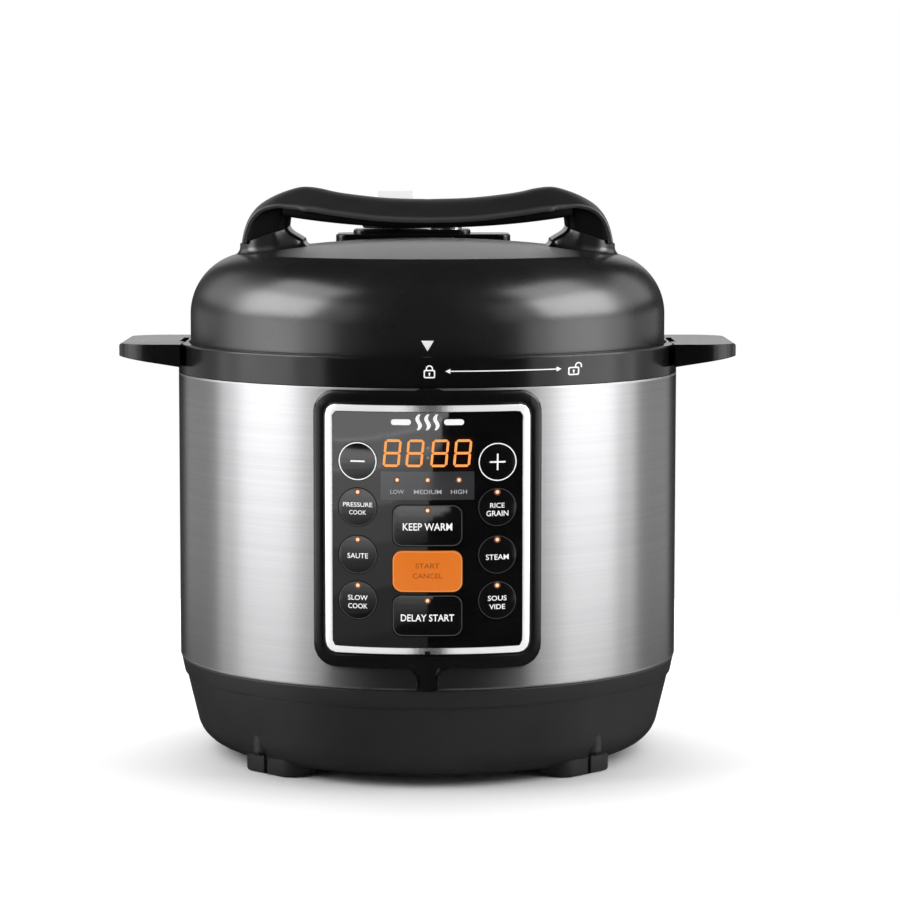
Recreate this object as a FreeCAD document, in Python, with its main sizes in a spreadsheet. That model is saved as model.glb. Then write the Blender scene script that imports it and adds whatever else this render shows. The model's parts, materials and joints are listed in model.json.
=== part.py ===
"""Electric pressure cooker: a round steel housing, a bayonet lid with a bridge handle,
a removable pot, a heater and a curved key panel.

Frame: millimetres, +Z up, origin on the cooker's axis at table level, the key panel
faces -Y. The lid is shown locked. Every sub-part is one document object whose sizes are
bound to the cells of the "Dims" sheet.
"""
import FreeCAD, Part
import math
import os
import re

import Sketcher
from FreeCAD import Placement, Rotation, Vector

os.makedirs("parts", exist_ok=True)
doc = FreeCAD.newDocument("pressure_cooker")
sheet = doc.addObject("Spreadsheet::Sheet", "Dims")

# ---------------------------------------------------------------- driving dimensions
DIMENSIONS = {
    # housing, from the table up
    "body_radius": 140.0,           # outside of the steel sleeve
    "sleeve_wall": 0.8,
    "sleeve_bottom": 54.8,
    "sleeve_top": 214.1,
    "ring_top": 230.5,
    "ring_inner": 134.3,            # bore that the lid drops into
    "ring_wall": 2.2,
    "shelf_level": 206.0,           # drain channel round the pot, under the lid's edge
    "shelf_wall": 2.0,
    "ear_reach": 171.3,             # tip of each side ear from the axis
    "ear_half": 46.0,               # half the width of an ear along Y
    "ear_corner": 20.0,
    "ear_top": 231.0,
    "ear_root_bottom": 218.5,
    "ear_tip_bottom": 221.6,
    "ear_edge": 2.4,
    "ear_overlap": 4.0,             # how far an ear reaches into the ring's wall
    "ring_edge": 1.2,
    "fin_slot_start": 135.6,        # slots that hold the lid upright, beside the bore
    "fin_slot_width": 3.2,
    "fin_slot_half": 18.0,
    "fin_slot_floor": 217.0,
    # base
    "band_bottom": 44.3,
    "band_top_radius": 139.6,
    "band_bottom_radius": 137.7,
    "band_wall": 3.6,
    "groove_depth": 0.8,
    "groove_gap": 0.9,
    "lug_reach": 6.0,               # half the width of a screw lug inside the band
    "bowl_top_radius": 136.5,
    "bowl_side_radius": 130.4,
    "bowl_side_level": 19.0,
    "bowl_turn": 15.5,              # radius of the bowl's lower corner
    "bowl_flat_radius": 113.0,
    "bowl_bottom": 4.8,
    "bowl_wall": 2.5,
    "tower_wall": 1.8,
    "board_post_radius": 3.5,
    "board_level": 18.8,            # underside of the mains board
    "vent_length": 34.0,
    "vent_width": 3.2,
    "vent_pitch": 9.0,
    "foot_circle": 114.0,
    "foot_length": 30.0,
    "foot_width": 18.0,
    "foot_top": 13.0,
    "foot_bottom": 2.0,
    "foot_slot": 2.4,
    "foot_slot_from": 4.0,          # where the upright slot starts, outwards of the foot's middle
    "pad_length": 24.0,
    "pad_width": 12.0,
    "pad_top": 3.2,
    "pad_inset": 1.5,               # the pads sit a little inwards on their feet
    "screw_circle": 126.0,
    "screw_radius": 1.8,
    "screw_head_radius": 3.4,
    "screw_head": 2.0,
    # fixed outer pot and heater
    "liner_radius": 117.0,
    "liner_wall": 1.5,
    "liner_bottom": 50.0,
    "liner_hole": 14.0,
    "flange_radius": 121.5,
    "lug_radius": 126.5,
    "lug_level": 217.0,
    "lug_height": 3.0,
    "lug_count": 10.0,
    "lug_angle": 14.0,
    "plate_radius": 92.0,
    "plate_bottom": 58.0,
    "plate_top": 69.6,
    "plate_hole": 13.0,
    "coil_circle": 68.0,
    "coil_radius": 4.0,
    "stud_radius": 3.0,
    "stud_circle": 70.0,
    "sensor_radius": 11.5,
    "sensor_top": 69.6,
    "sensor_cap": 4.0,
    "sensor_stem": 4.0,
    "sensor_stem_bottom": 40.0,
    "spring_radius": 6.2,
    "spring_wire": 0.6,
    "holder_wall": 4.0,
    "holder_lip": 2.0,
    # removable pot
    "pot_radius": 111.0,
    "pot_wall": 1.2,
    "pot_bottom": 69.9,
    "pot_corner": 16.0,
    "pot_rim_radius": 119.0,
    "pot_rim_top": 229.0,
    "pot_rim_height": 2.6,
    # lid
    "lid_radius": 133.2,
    "lid_wall": 2.6,
    "lid_edge": 212.5,
    "shoulder_centre": 246.0,
    "shoulder_radius": 34.3,
    "crown_reach": 104.0,           # where the shoulder meets the crown
    "crown_edge": 279.9,
    "crown_top": 288.0,
    "seal_plate_radius": 128.4,     # steel lid's skirt
    "seal_plate_wall": 1.2,
    "seal_plate_edge": 213.5,
    "seal_plate_shoulder": 243.0,
    "seal_plate_top": 262.0,
    "seal_plate_flat": 108.0,
    "lid_lug_inner": 122.3,
    "lid_lug_height": 3.0,
    "seal_inner": 112.0,
    "seal_outer": 124.0,
    "seal_bottom": 229.3,
    "seal_top": 240.0,
    "seal_lip": 2.4,
    "rack_radius": 117.4,
    "rack_wire": 1.5,
    "boss_circle": 60.0,
    "boss_radius": 5.0,
    # handle
    "grip_ridge": 310.0,            # top of the handle at the middle
    "grip_peak": 317.0,             # top of the handle over each leg
    "grip_peak_at": 71.0,
    "grip_shoulder_at": 93.0,
    "grip_shoulder": 307.0,
    "grip_outer_at": 103.0,
    "grip_outer": 290.0,
    "grip_foot_at": 105.4,
    "grip_seam_outer": 285.3,       # joint between a leg and its pedestal, at its outer end
    "grip_seam_inner": 294.5,
    "grip_peak_turn": 60.0,
    "grip_shoulder_turn": 34.0,
    "grip_under": 294.6,
    "grip_under_end": 300.5,
    "grip_leg_top_at": 77.0,
    "grip_leg_inner_at": 78.0,
    "grip_leg_foot_at": 64.5,
    "grip_foot_taper": 6.0,
    "grip_half": 37.0,
    "grip_end_half": 29.0,
    "grip_edge": 300.0,
    "pedestal_bottom": 272.5,
    "handle_screw_level": 272.5,    # underside of the screw seats
    "handle_screw_top": 300.5,
    # steam valve group, behind the handle
    "valve_at": -18.8,
    "valve_back": 66.0,
    "float_at": 11.0,
    "deck_left": -53.0,
    "deck_right": 48.0,
    "deck_front": 46.0,
    "deck_back": 90.0,
    "deck_top": 289.0,
    "deck_corner": 8.0,
    "tier_left": -43.0,
    "tier_right": 25.0,
    "tier_front": 49.0,
    "tier_back": 86.0,
    "tier_top": 291.6,
    "tier_corner": 9.0,
    "knob_radius": 19.5,
    "knob_bottom": 292.0,
    "knob_shoulder": 306.0,
    "knob_top": 315.0,
    "knob_tab_half": 6.5,
    "pipe_radius": 4.0,
    "pipe_bore": 1.6,
    "pipe_top": 302.0,
    "pipe_bottom": 246.0,
    "nut_flats": 12.0,
    "nut_height": 5.0,
    "float_radius": 3.0,
    "float_top": 292.2,
    "float_bottom": 252.0,
    "float_head": 5.0,
    "guard_radius": 9.0,
    "guard_top": 295.0,
    "shield_radius": 14.0,
    "shield_height": 12.0,
    # control panel, across (chord) and up
    "panel_radius": 143.0,
    "bezel_half": 60.0,
    "bezel_low": 66.7,
    "bezel_high": 213.0,
    "bezel_corner": 11.5,
    "tab_half": 6.0,
    "trim_half": 53.8,
    "trim_low": 74.4,
    "trim_high": 205.8,
    "trim_corner": 6.0,
    "trim_width": 4.0,
    "trim_proud": 0.6,
    "lens_corner": 2.5,
    "window_margin": 1.5,           # the sleeve's opening beyond the trim
    "key_gap": 0.35,
    "key_proud": 0.35,
    "key_back": 139.4,
    "key_travel": 0.5,
    "round_key": 10.0,
    "wide_key": 36.4,
    "wide_key_height": 21.4,
    "wide_key_corner": 5.0,
    "board_face": 127.0,            # flat board's front face, from the axis
    "board_wall": 1.6,
    "board_half": 50.0,
    "mains_half": 44.0,
    "mains_near": 28.0,
    "mains_far": 90.0,
    "fuse_radius": 2.6,
    "fuse_length": 22.0,
    "display_half": 24.0,
    "display_low": 171.5,
    "display_high": 189.5,
    "switch_width": 6.0,
    "led_radius": 1.5,
    "led_above_key": 7.0,
    "display_depth": 9.4,
    # rear
    "inlet_level": 78.0,
    "inlet_half": 15.0,
    "inlet_height": 24.0,
    "inlet_front": 120.0,
    "inlet_face": 142.0,
    "socket_half": 12.0,
    "socket_height": 16.0,
    "socket_floor": 126.0,
    "pin_length": 11.0,
    "pin_half": 1.0,
    "pin_half_height": 2.0,
    "cup_half": 20.0,
    "cup_bottom": 158.0,
    "cup_top": 202.0,
    "cup_near": 141.5,
    "cup_far": 158.0,
    "cup_wall": 1.6,
    "cup_lip": 2.0,
    "cup_lip_height": 2.0,
    "rail_gap": 0.4,
    "rail_wall": 2.4,
    "rail_roof": 4.0,
    "rail_ledge": 2.0,
}

# keys: name, centre across, centre up, round or wide
KEYS = (
    ("minus_key", -36.5, 176.0, "round"),
    ("plus_key", 36.6, 175.6, "round"),
    ("pressure_cook_key", -36.5, 151.9, "round"),
    ("saute_key", -36.5, 126.9, "round"),
    ("slow_cook_key", -36.5, 102.8, "round"),
    ("rice_grain_key", 36.5, 151.9, "round"),
    ("steam_key", 36.5, 126.9, "round"),
    ("sous_vide_key", 36.5, 102.8, "round"),
    ("keep_warm_key", 0.0, 142.6, "wide"),
    ("start_cancel_key", 0.0, 118.5, "wide"),
    ("delay_start_key", 0.0, 95.2, "wide"),
)

UNLIT_KEYS = ("minus_key", "plus_key", "start_cancel_key")

# fixings: places across and back, or directions in degrees
HANDLE_SCREWS = ((-86, -14), (-86, 14), (86, -14), (86, 14))
BOARD_POSTS = ((-38, 34), (38, 34), (-38, 84), (38, 84))
COVER_BOSSES = (-90, 30, 150)
CORNERS = (45, 135, 225, 315)
VENT_ROWS = (-5, -4, -3, -2, -1, 0)
INLET_PINS = ((-7, -2), (7, -2), (0, 2))

for row, (alias, number) in enumerate(DIMENSIONS.items(), start=1):
    sheet.set(f"A{row}", alias.replace("_", " "))
    sheet.set(f"B{row}", str(number))
    sheet.setAlias(f"B{row}", alias)
doc.recompute()

# the crown is part of a sphere through the lid's top and its edge at the shoulder
CROWN_RISE = "(crown_top - crown_edge)"
CROWN_RADIUS = f"((crown_reach ^ 2 + {CROWN_RISE} ^ 2) / 2 / {CROWN_RISE})"
CROWN_CENTRE = f"(crown_top - {CROWN_RADIUS})"
UNDER_REACH = "(crown_reach - 0.4)"
UNDER_EDGE = f"({CROWN_CENTRE} + sqrt(({CROWN_RADIUS} - lid_wall) ^ 2 - {UNDER_REACH} ^ 2))"

# the joint between each leg and its pedestal rises inwards
SEAM_SLOPE = "(grip_seam_inner - grip_seam_outer) / (grip_foot_at - grip_leg_inner_at)"

parts = {}
stands = {}                         # where each placed object stands, as expressions
LEAST = 1e-6                        # lengths closer than this are the same


# ------------------------------------------------------------------- small helpers
def bound(text):
    """The expression with each sheet name written as Dims.name."""
    def named(match):
        word = match.group(0)
        return f"Dims.{word}" if word in DIMENSIONS else word
    return re.sub(r"[a-z_]+", named, str(text))


def value(text):
    """The number that an expression in sheet names gives."""
    return float(sheet.evalExpression(bound(text)))


def bind(thing, prop, text):
    """Set a property from an expression in sheet names."""
    thing.setExpression(prop, bound(text))


def place(thing, across="0", back="0", up="0"):
    """Bind where an object stands."""
    stands[thing.Name] = (across, back, up)
    for letter, text in zip("xyz", (across, back, up)):
        if str(text) != "0":
            bind(thing, f"Placement.Base.{letter}", text)
    return thing


def finish_part(name, thing):
    """Name an object as a finished sub-part."""
    thing.Label = name
    parts[name] = thing
    return thing


def tool(kind, name, **sizes):
    """A Part primitive or boolean with its sizes bound."""
    thing = doc.addObject(kind, name)
    for prop, text in sizes.items():
        bind(thing, prop, text)
    return thing


def box(name, low, high):
    """A box between two corners, each three expressions."""
    thing = doc.addObject("Part::Box", name)
    for prop, near, far in zip(("Length", "Width", "Height"), low, high):
        bind(thing, prop, f"({far}) - ({near})")
    return place(thing, *low)


def rod(name, radius, bottom, top, across="0", back="0"):
    """An upright cylinder."""
    thing = tool("Part::Cylinder", name, Radius=radius, Height=f"({top}) - ({bottom})")
    return place(thing, across, back, bottom)


def cut(name, base, knife):
    doc.recompute()
    thing = doc.addObject("Part::Cut", name)
    thing.Base = base
    thing.Tool = knife
    return thing


def fuse(name, shapes):
    thing = doc.addObject("Part::MultiFuse", name)
    thing.Shapes = shapes
    return thing


def common(name, shapes):
    thing = doc.addObject("Part::MultiCommon", name)
    thing.Shapes = shapes
    return thing


def group(name, shapes):
    """Several separate solids kept in one sub-part."""
    thing = doc.addObject("Part::Compound", name)
    thing.Links = shapes
    return thing


def tube(name, outer, inner, bottom, top, across="0", back="0"):
    """A plain round tube."""
    solid = rod(f"{name}_outside", outer, bottom, top, across, back)
    hole = rod(f"{name}_bore", inner, f"({bottom}) - 1", f"({top}) + 1", across, back)
    return cut(name, solid, hole)


def new_body(name):
    return doc.addObject("PartDesign::Body", name)


def origin_plane(body, role):
    return [one for one in body.Origin.OriginFeatures if one.Role == role][0]


def arc(radius, side):
    """An edge of an outline that is an arc; side 1 has its centre to the left of travel."""
    return {"radius": radius, "side": side}


def swing(half_chord, rise):
    """The radius of the arc that rises so far over a chord of twice half_chord."""
    return f"(({half_chord}) ^ 2 + {rise} ^ 2) / 2 / {rise}"


def arc_edge(start, end, radius, side):
    """A counter-clockwise arc of circle between two points."""
    chord = end - start
    middle = (start + end) * 0.5
    left = Vector(-chord.y, chord.x, 0).normalize()
    rise = math.sqrt(max(radius ** 2 - chord.Length ** 2 / 4, 0))
    centre = middle + left * (rise * side)
    first, last = (start, end) if side > 0 else (end, start)
    angle_from = math.atan2(first.y - centre.y, first.x - centre.x)
    angle_to = math.atan2(last.y - centre.y, last.x - centre.x)
    if angle_to < angle_from:
        angle_to += 2 * math.pi
    circle = Part.Circle(centre, Vector(0, 0, 1), radius)
    return Part.ArcOfCircle(circle, angle_from, angle_to)


def outline(body, name, role, path):
    """A closed, fully bound sketch; path mixes (x, y) corners and arc() edges."""
    sketch = body.newObject("Sketcher::SketchObject", name)
    sketch.AttachmentSupport = [(origin_plane(body, role), "")]
    sketch.MapMode = "FlatFace"
    corners = [item for item in path if not isinstance(item, dict)]
    bends = {}
    count = -1
    for item in path:
        if isinstance(item, dict):
            bends[count] = item
        else:
            count += 1
    points = [Vector(value(x), value(y), 0) for x, y in corners]
    edges = []
    for index, start in enumerate(points):
        end = points[(index + 1) % len(points)]
        if index in bends:
            bend = bends[index]
            edges.append(arc_edge(start, end, value(bend["radius"]), bend["side"]))
        else:
            edges.append(Part.LineSegment(start, end))
    sketch.addGeometry(edges, False)

    def which_end(edge, point):
        return 1 if (sketch.Geometry[edge].StartPoint - point).Length < LEAST else 2

    for index, (across, up) in enumerate(corners):
        before = (index - 1) % len(points)
        here = which_end(index, points[index])
        there = which_end(before, points[index])
        sketch.addConstraint(Sketcher.Constraint("Coincident", before, there, index, here))
        for kind, text, number in (("DistanceX", across, points[index].x),
                                   ("DistanceY", up, points[index].y)):
            last = sketch.addConstraint(Sketcher.Constraint(kind, -1, 1, index, here, number))
            bind(sketch, f"Constraints[{last}]", text)
        if index in bends:
            radius = bends[index]["radius"]
            last = sketch.addConstraint(Sketcher.Constraint("Radius", index, value(radius)))
            bind(sketch, f"Constraints[{last}]", radius)
    return sketch


def turned(name, path):
    """A body of revolution about Z from an outline of (radius, level) corners."""
    body = new_body(name)
    sketch = outline(body, f"{name}_section", "XZ_Plane", path)
    turn = body.newObject("PartDesign::Revolution", f"{name}_turn")
    turn.Profile = sketch
    turn.ReferenceAxis = (sketch, ["V_Axis"])
    turn.Angle = 360
    return body


def extruded(name, role, path, length, start="0"):
    """An outline padded along its plane's normal: both ways, or from start on XY."""
    body = new_body(name)
    sketch = outline(body, f"{name}_outline", role, path)
    pad = body.newObject("PartDesign::Pad", f"{name}_pad")
    pad.Profile = sketch
    bind(pad, "Length", length)
    if role == "XY_Plane":
        place(body, up=start)
    else:
        pad.SideType = "Symmetric"
    return body


def rounded_box_path(left, right, low, high, corner):
    """A rounded rectangle, counter-clockwise from its lower left."""
    return [
        (f"({left}) + ({corner})", low), (f"({right}) - ({corner})", low), arc(corner, 1),
        (right, f"({low}) + ({corner})"), (right, f"({high}) - ({corner})"), arc(corner, 1),
        (f"({right}) - ({corner})", high), (f"({left}) + ({corner})", high), arc(corner, 1),
        (left, f"({high}) - ({corner})"), (left, f"({low}) + ({corner})"), arc(corner, 1),
    ]


def curved_plate(name, face, inner, outer):
    """The part of a front-facing prism that lies between two radii about the axis."""
    wrap = tube(f"{name}_wrap", outer, inner, "bezel_low - 20", "bezel_high + 20")
    return common(name, [face, wrap])


def front_prism(name, left, right, low, high, corner):
    """A rounded rectangle seen from the front, deep enough to cross the panel."""
    body = extruded(name, "XZ_Plane", rounded_box_path(left, right, low, high, corner), "40")
    return place(body, back="-body_radius")


def front_disc(name, across, up, radius):
    """A round prism seen from the front."""
    disc = tool("Part::Cylinder", name, Radius=radius, Height="40")
    disc.Placement = Placement(Vector(), Rotation(Vector(1, 0, 0), 90))
    return place(disc, across, "20 - body_radius", up)


def around(count, first=0.0):
    """Equally spaced directions in degrees."""
    return [first + 360.0 * index / count for index in range(int(count))]


def at_angle(thing, angle):
    """Turn an object about the housing's axis, and rebind where it stands."""
    thing.Placement = Placement(Vector(), Rotation(Vector(0, 0, 1), angle))
    across, back, up = stands.get(thing.Name, ("0", "0", "0"))
    turned_across = f"({across}) * cos({angle}) - ({back}) * sin({angle})"
    turned_back = f"({across}) * sin({angle}) + ({back}) * cos({angle})"
    return place(thing, turned_across, turned_back, up)


def sector(name, outer, width_angle, bottom, top, angle):
    """A slice of a disc centred on a direction."""
    height = f"({top}) - ({bottom})"
    ring = tool("Part::Cylinder", name, Radius=outer, Height=height, Angle=width_angle)
    ring.Placement = Placement(Vector(0, 0, value(bottom)),
                               Rotation(Vector(0, 0, 1), angle - value(width_angle) / 2))
    return ring


def helix_spring(name, coil_radius, wire_radius, bottom, top, turns):
    """A wire spring on the axis, standing between two levels."""
    thing = doc.addObject("Part::Feature", name)
    low = value(bottom) + value(wire_radius)
    high = value(top) - value(wire_radius)
    radius = value(coil_radius)
    path = Part.makeHelix((high - low) / turns, high - low, radius)
    start = Part.Circle(Vector(radius, 0, 0), Vector(0, 1, 0), value(wire_radius))
    thing.Shape = Part.Wire(path).makePipeShell([Part.Wire(start.toShape())], True, True)
    thing.Placement = Placement(Vector(0, 0, low), Rotation())
    return thing


# ------------------------------------------------------------------- housing
def steel_sleeve():
    """Brushed steel sleeve, open behind the key panel and at the rear inlet."""
    shell = tube("sleeve_shell", "body_radius", "body_radius - sleeve_wall",
                 "sleeve_bottom", "sleeve_top")
    window = box("sleeve_window", ("-board_half", "-panel_radius", "trim_low - window_margin"),
                 ("board_half", "0", "trim_high + window_margin"))
    inlet = box("sleeve_inlet", ("-inlet_half", "0", "inlet_level - inlet_height / 2"),
                ("inlet_half", "inlet_face", "inlet_level + inlet_height / 2"))
    openings = fuse("sleeve_openings", [window, inlet])
    finish_part("steel_sleeve", cut("steel_sleeve_cut", shell, openings))


def upper_ring():
    """Black top moulding: ring, drain channel and both side ears in one piece."""
    ring = turned("ring_section", [
        ("liner_radius", "shelf_level"),
        ("ring_inner + ring_wall", "shelf_level"),
        ("ring_inner + ring_wall", "sleeve_top"),
        ("body_radius", "sleeve_top"),
        ("body_radius", "ring_top - ring_edge"),
        arc("ring_edge", 1),
        ("body_radius - ring_edge", "ring_top"),
        ("ring_inner", "ring_top"),
        ("ring_inner", "shelf_level + shelf_wall"),
        ("liner_radius", "shelf_level + shelf_wall"),
    ])
    plan = extruded("ear_plan", "XY_Plane", rounded_box_path(
        "-ear_reach", "ear_reach", "-ear_half", "ear_half", "ear_corner"),
        "ear_top - sleeve_top", "sleeve_top")
    slabs = []
    for side, word in ((1, "right"), (-1, "left")):
        root = f"{side} * (body_radius - ear_overlap)"
        tip = f"{side} * ear_reach"
        path = [(root, "ear_root_bottom"), (tip, "ear_tip_bottom + ear_edge"),
                (tip, "ear_top - ear_edge"), arc("ear_edge", side),
                (f"{side} * (ear_reach - ear_edge)", "ear_top"), (root, "ear_top")]
        slabs.append(extruded(f"ear_side_{word}", "XZ_Plane", path, "ear_half * 2"))
    ears = common("ears", [plan, fuse("ear_slabs", slabs)])
    rails = cup_rails()
    slots = [box(f"fin_slot_{word}", (start, "-fin_slot_half", "fin_slot_floor"),
                 (f"{start} + fin_slot_width", "fin_slot_half", "ear_top + 1"))
             for word, start in (("right", "fin_slot_start"),
                                 ("left", "-fin_slot_start - fin_slot_width"))]
    bore = rod("ring_bore", "ring_inner", "shelf_level + shelf_wall", "ear_top + 1")
    whole = fuse("ring_and_ears", [ring, ears] + rails)
    finish_part("upper_ring", cut("upper_ring_cut", whole, fuse("ring_openings", slots + [bore])))


def cup_rails():
    """Roof and two L-shaped rails under the ring at the rear, which hold the drip cup."""
    inner = "cup_half + cup_lip + rail_gap"
    outer = f"{inner} + rail_wall"
    end = "cup_far - rail_ledge"
    ledge_top = "cup_top - cup_lip_height - rail_gap"
    ledge_bottom = f"{ledge_top} - rail_ledge"
    rails = [box("rail_roof", (f"-({outer})", "ring_inner", "sleeve_top"),
                 (outer, end, "sleeve_top + rail_roof"))]
    for side, word in ((1, "right"), (-1, "left")):
        wall = box(f"rail_wall_{word}", (inner, "body_radius - 1.5", ledge_bottom),
                   (outer, end, "sleeve_top + 1"))
        ledge = box(f"rail_ledge_{word}", ("cup_half + rail_gap", "body_radius + 0.2", ledge_bottom),
                    (outer, end, ledge_top))
        rail = fuse(f"rail_{word}", [wall, ledge])
        rails.append(rail if side > 0 else mirrored(f"rail_{word}_mirror", rail))
    return rails


def mirrored(name, source):
    """The mirror image of an object across the YZ plane."""
    thing = doc.addObject("Part::Mirroring", name)
    thing.Source = source
    thing.Normal = Vector(1, 0, 0)
    return thing


def base_band():
    """Dark band under the steel, with a fine groove and four screw lugs."""
    ring = turned("band_section", [
        ("band_top_radius - band_wall", "band_bottom"),
        ("band_bottom_radius - groove_depth", "band_bottom"),
        ("band_bottom_radius - groove_depth", "band_bottom + groove_gap"),
        ("band_bottom_radius", "band_bottom + groove_gap"),
        ("band_top_radius", "sleeve_bottom"),
        ("band_top_radius - band_wall", "sleeve_bottom"),
    ])
    lugs, holes = [], []
    for angle in CORNERS:
        lug = box(f"band_lug_{angle}", ("screw_circle - lug_reach", "-lug_reach", "band_bottom"),
                  ("band_top_radius - band_wall + 0.5", "lug_reach", "sleeve_bottom - 2"))
        hole = rod(f"band_hole_{angle}", "screw_radius", "band_bottom - 1", "band_bottom + 6",
                   "screw_circle")
        lugs.append(at_angle(lug, angle))
        holes.append(at_angle(hole, angle))
    whole = fuse("band_whole", [ring] + lugs)
    finish_part("base_band", cut("base_band_cut", whole, fuse("band_holes", holes)))


def base_cover():
    """Bowl-shaped bottom cover with cooling slots and four screw towers."""
    shell = turned("bowl_section", [
        ("0", "bowl_bottom"),
        ("bowl_flat_radius", "bowl_bottom"),
        arc("bowl_turn + bowl_wall", 1),
        ("bowl_side_radius", "bowl_side_level"),
        ("bowl_top_radius", "band_bottom"),
        ("bowl_top_radius - bowl_wall", "band_bottom"),
        ("bowl_side_radius - bowl_wall", "bowl_side_level + 0.6"),
        arc("bowl_turn", -1),
        ("bowl_flat_radius - 0.6", "bowl_bottom + bowl_wall"),
        ("0", "bowl_bottom + bowl_wall"),
    ])
    whole, holes = [shell], []
    for angle in CORNERS:
        tower = rod(f"tower_{angle}", "screw_head_radius + tower_wall", "bowl_side_level - 6",
                    "band_bottom", "screw_circle")
        hole = rod(f"tower_hole_{angle}", "screw_radius", "0", "band_bottom + 1", "screw_circle")
        sink = rod(f"tower_sink_{angle}", "screw_head_radius", "0", "bowl_side_level",
                   "screw_circle")
        whole.append(at_angle(tower, angle))
        holes += [at_angle(hole, angle), at_angle(sink, angle)]
    for index, (across, back) in enumerate(BOARD_POSTS):
        whole.append(rod(f"board_post_{index}", "board_post_radius", "bowl_bottom + 1", "board_level",
                         across, back))
    for index, step in enumerate(VENT_ROWS):
        middle = f"{step} * vent_pitch"
        holes.append(box(f"vent_{index}", ("-vent_length / 2", f"{middle} - vent_width / 2", "0"),
                         ("vent_length / 2", f"{middle} + vent_width / 2",
                          "bowl_bottom + bowl_wall + 1")))
    bowl = fuse("bowl_whole", whole)
    finish_part("base_cover", cut("base_cover_cut", bowl, fuse("bowl_holes", holes)))


def base_screws():
    """Four screws that hold the bottom cover to the band."""
    screws = []
    for angle in CORNERS:
        shank = rod(f"base_shank_{angle}", "screw_radius", "bowl_side_level", "band_bottom + 6",
                    "screw_circle")
        head = rod(f"base_head_{angle}", "screw_head_radius", "bowl_side_level - screw_head",
                   "bowl_side_level", "screw_circle")
        screws.append(fuse(f"base_screw_{angle}", [at_angle(shank, angle), at_angle(head, angle)]))
    finish_part("base_screws", group("base_screws_group", screws))


def feet():
    """Four moulded feet with rounded ends and an upright slot, and the rubber pads under them."""
    blocks, pads = [], []
    middle = "foot_circle - pad_inset"
    pad_plan = rounded_box_path(f"{middle} - pad_width / 2", f"{middle} + pad_width / 2",
                                "-pad_length / 2", "pad_length / 2", "pad_width / 2 - 0.1")
    foot_plan = rounded_box_path("foot_circle - foot_width / 2", "foot_circle + foot_width / 2",
                                 "-foot_length / 2", "foot_length / 2", "foot_width / 2 - 0.1")
    for angle in CORNERS:
        block = extruded(f"foot_block_{angle}", "XY_Plane", foot_plan, "foot_top - foot_bottom",
                         "foot_bottom")
        bowl = turned(f"foot_trim_{angle}", [
            ("0", "bowl_bottom"), ("bowl_flat_radius", "bowl_bottom"), arc("bowl_turn + bowl_wall", 1),
            ("bowl_side_radius", "bowl_side_level"), ("0", "bowl_side_level")])
        slot = box(f"foot_slot_{angle}", ("foot_circle + foot_slot_from", "-foot_slot / 2", "0"),
                   ("foot_circle + foot_width", "foot_slot / 2", "foot_top + 1"))
        recess = extruded(f"foot_recess_{angle}", "XY_Plane", pad_plan, "pad_top", "0")
        foot = cut(f"foot_{angle}", block, fuse(f"foot_knife_{angle}", [bowl, slot, recess]))
        blocks.append(at_angle(foot, angle))
        pads.append(at_angle(extruded(f"pad_{angle}", "XY_Plane", pad_plan, "pad_top", "0"), angle))
    finish_part("feet", group("feet_group", blocks))
    finish_part("foot_pads", group("foot_pads_group", pads))


# ------------------------------------------------------------------- pots and heater
def outer_pot():
    """Fixed steel pot that carries the lid's outward bayonet lugs."""
    wall = turned("liner_section", [
        ("liner_hole", "liner_bottom"),
        ("liner_radius", "liner_bottom"),
        ("liner_radius", "lug_level"),
        ("flange_radius", "lug_level"),
        ("flange_radius", "lug_level + lug_height"),
        ("liner_radius - liner_wall", "lug_level + lug_height"),
        ("liner_radius - liner_wall", "liner_bottom + liner_wall"),
        ("liner_hole", "liner_bottom + liner_wall"),
    ])
    lugs = []
    for index, angle in enumerate(around(value("lug_count"))):
        lugs.append(sector(f"pot_lug_{index}", "lug_radius", "lug_angle", "lug_level",
                           "lug_level + lug_height", angle))
    core = rod("pot_lug_core", "flange_radius - 1", "lug_level - 1", "lug_level + lug_height + 1")
    ring = cut("pot_lug_ring", fuse("pot_lugs", lugs), core)
    finish_part("outer_pot", fuse("outer_pot_whole", [wall, ring]))


def heating_plate():
    """Cast aluminium plate with its heater moulded in and a hole for the sensor."""
    plate = turned("plate_section", [
        ("plate_hole", "plate_bottom"),
        ("plate_radius - 8", "plate_bottom"),
        ("plate_radius", "plate_bottom + 4"),
        ("plate_radius", "plate_top - 1.5"),
        ("plate_radius - 1.5", "plate_top"),
        ("plate_hole", "plate_top"),
    ])
    coil = tool("Part::Torus", "heater_coil", Radius1="coil_circle", Radius2="coil_radius")
    place(coil, up="plate_bottom + 1")
    finish_part("heating_plate", fuse("heating_plate_whole", [plate, coil]))
    brackets = []
    for index, angle in enumerate(around(3, 30)):
        stud = rod(f"stud_{index}", "stud_radius", "liner_bottom + liner_wall", "plate_bottom - 3.4",
                   "stud_circle")
        tip = rod(f"stud_top_{index}", "stud_radius - 1", "plate_bottom - 3.4", "plate_bottom",
                  "stud_circle - 18")
        link = box(f"stud_link_{index}", ("stud_circle - 20", "-2", "plate_bottom - 4.4"),
                   ("stud_circle + 2", "2", "plate_bottom - 3.2"))
        brackets.append(fuse(f"plate_bracket_{index}",
                             [at_angle(shape, angle) for shape in (stud, tip, link)]))
    finish_part("plate_brackets", group("plate_brackets_group", brackets))


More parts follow.
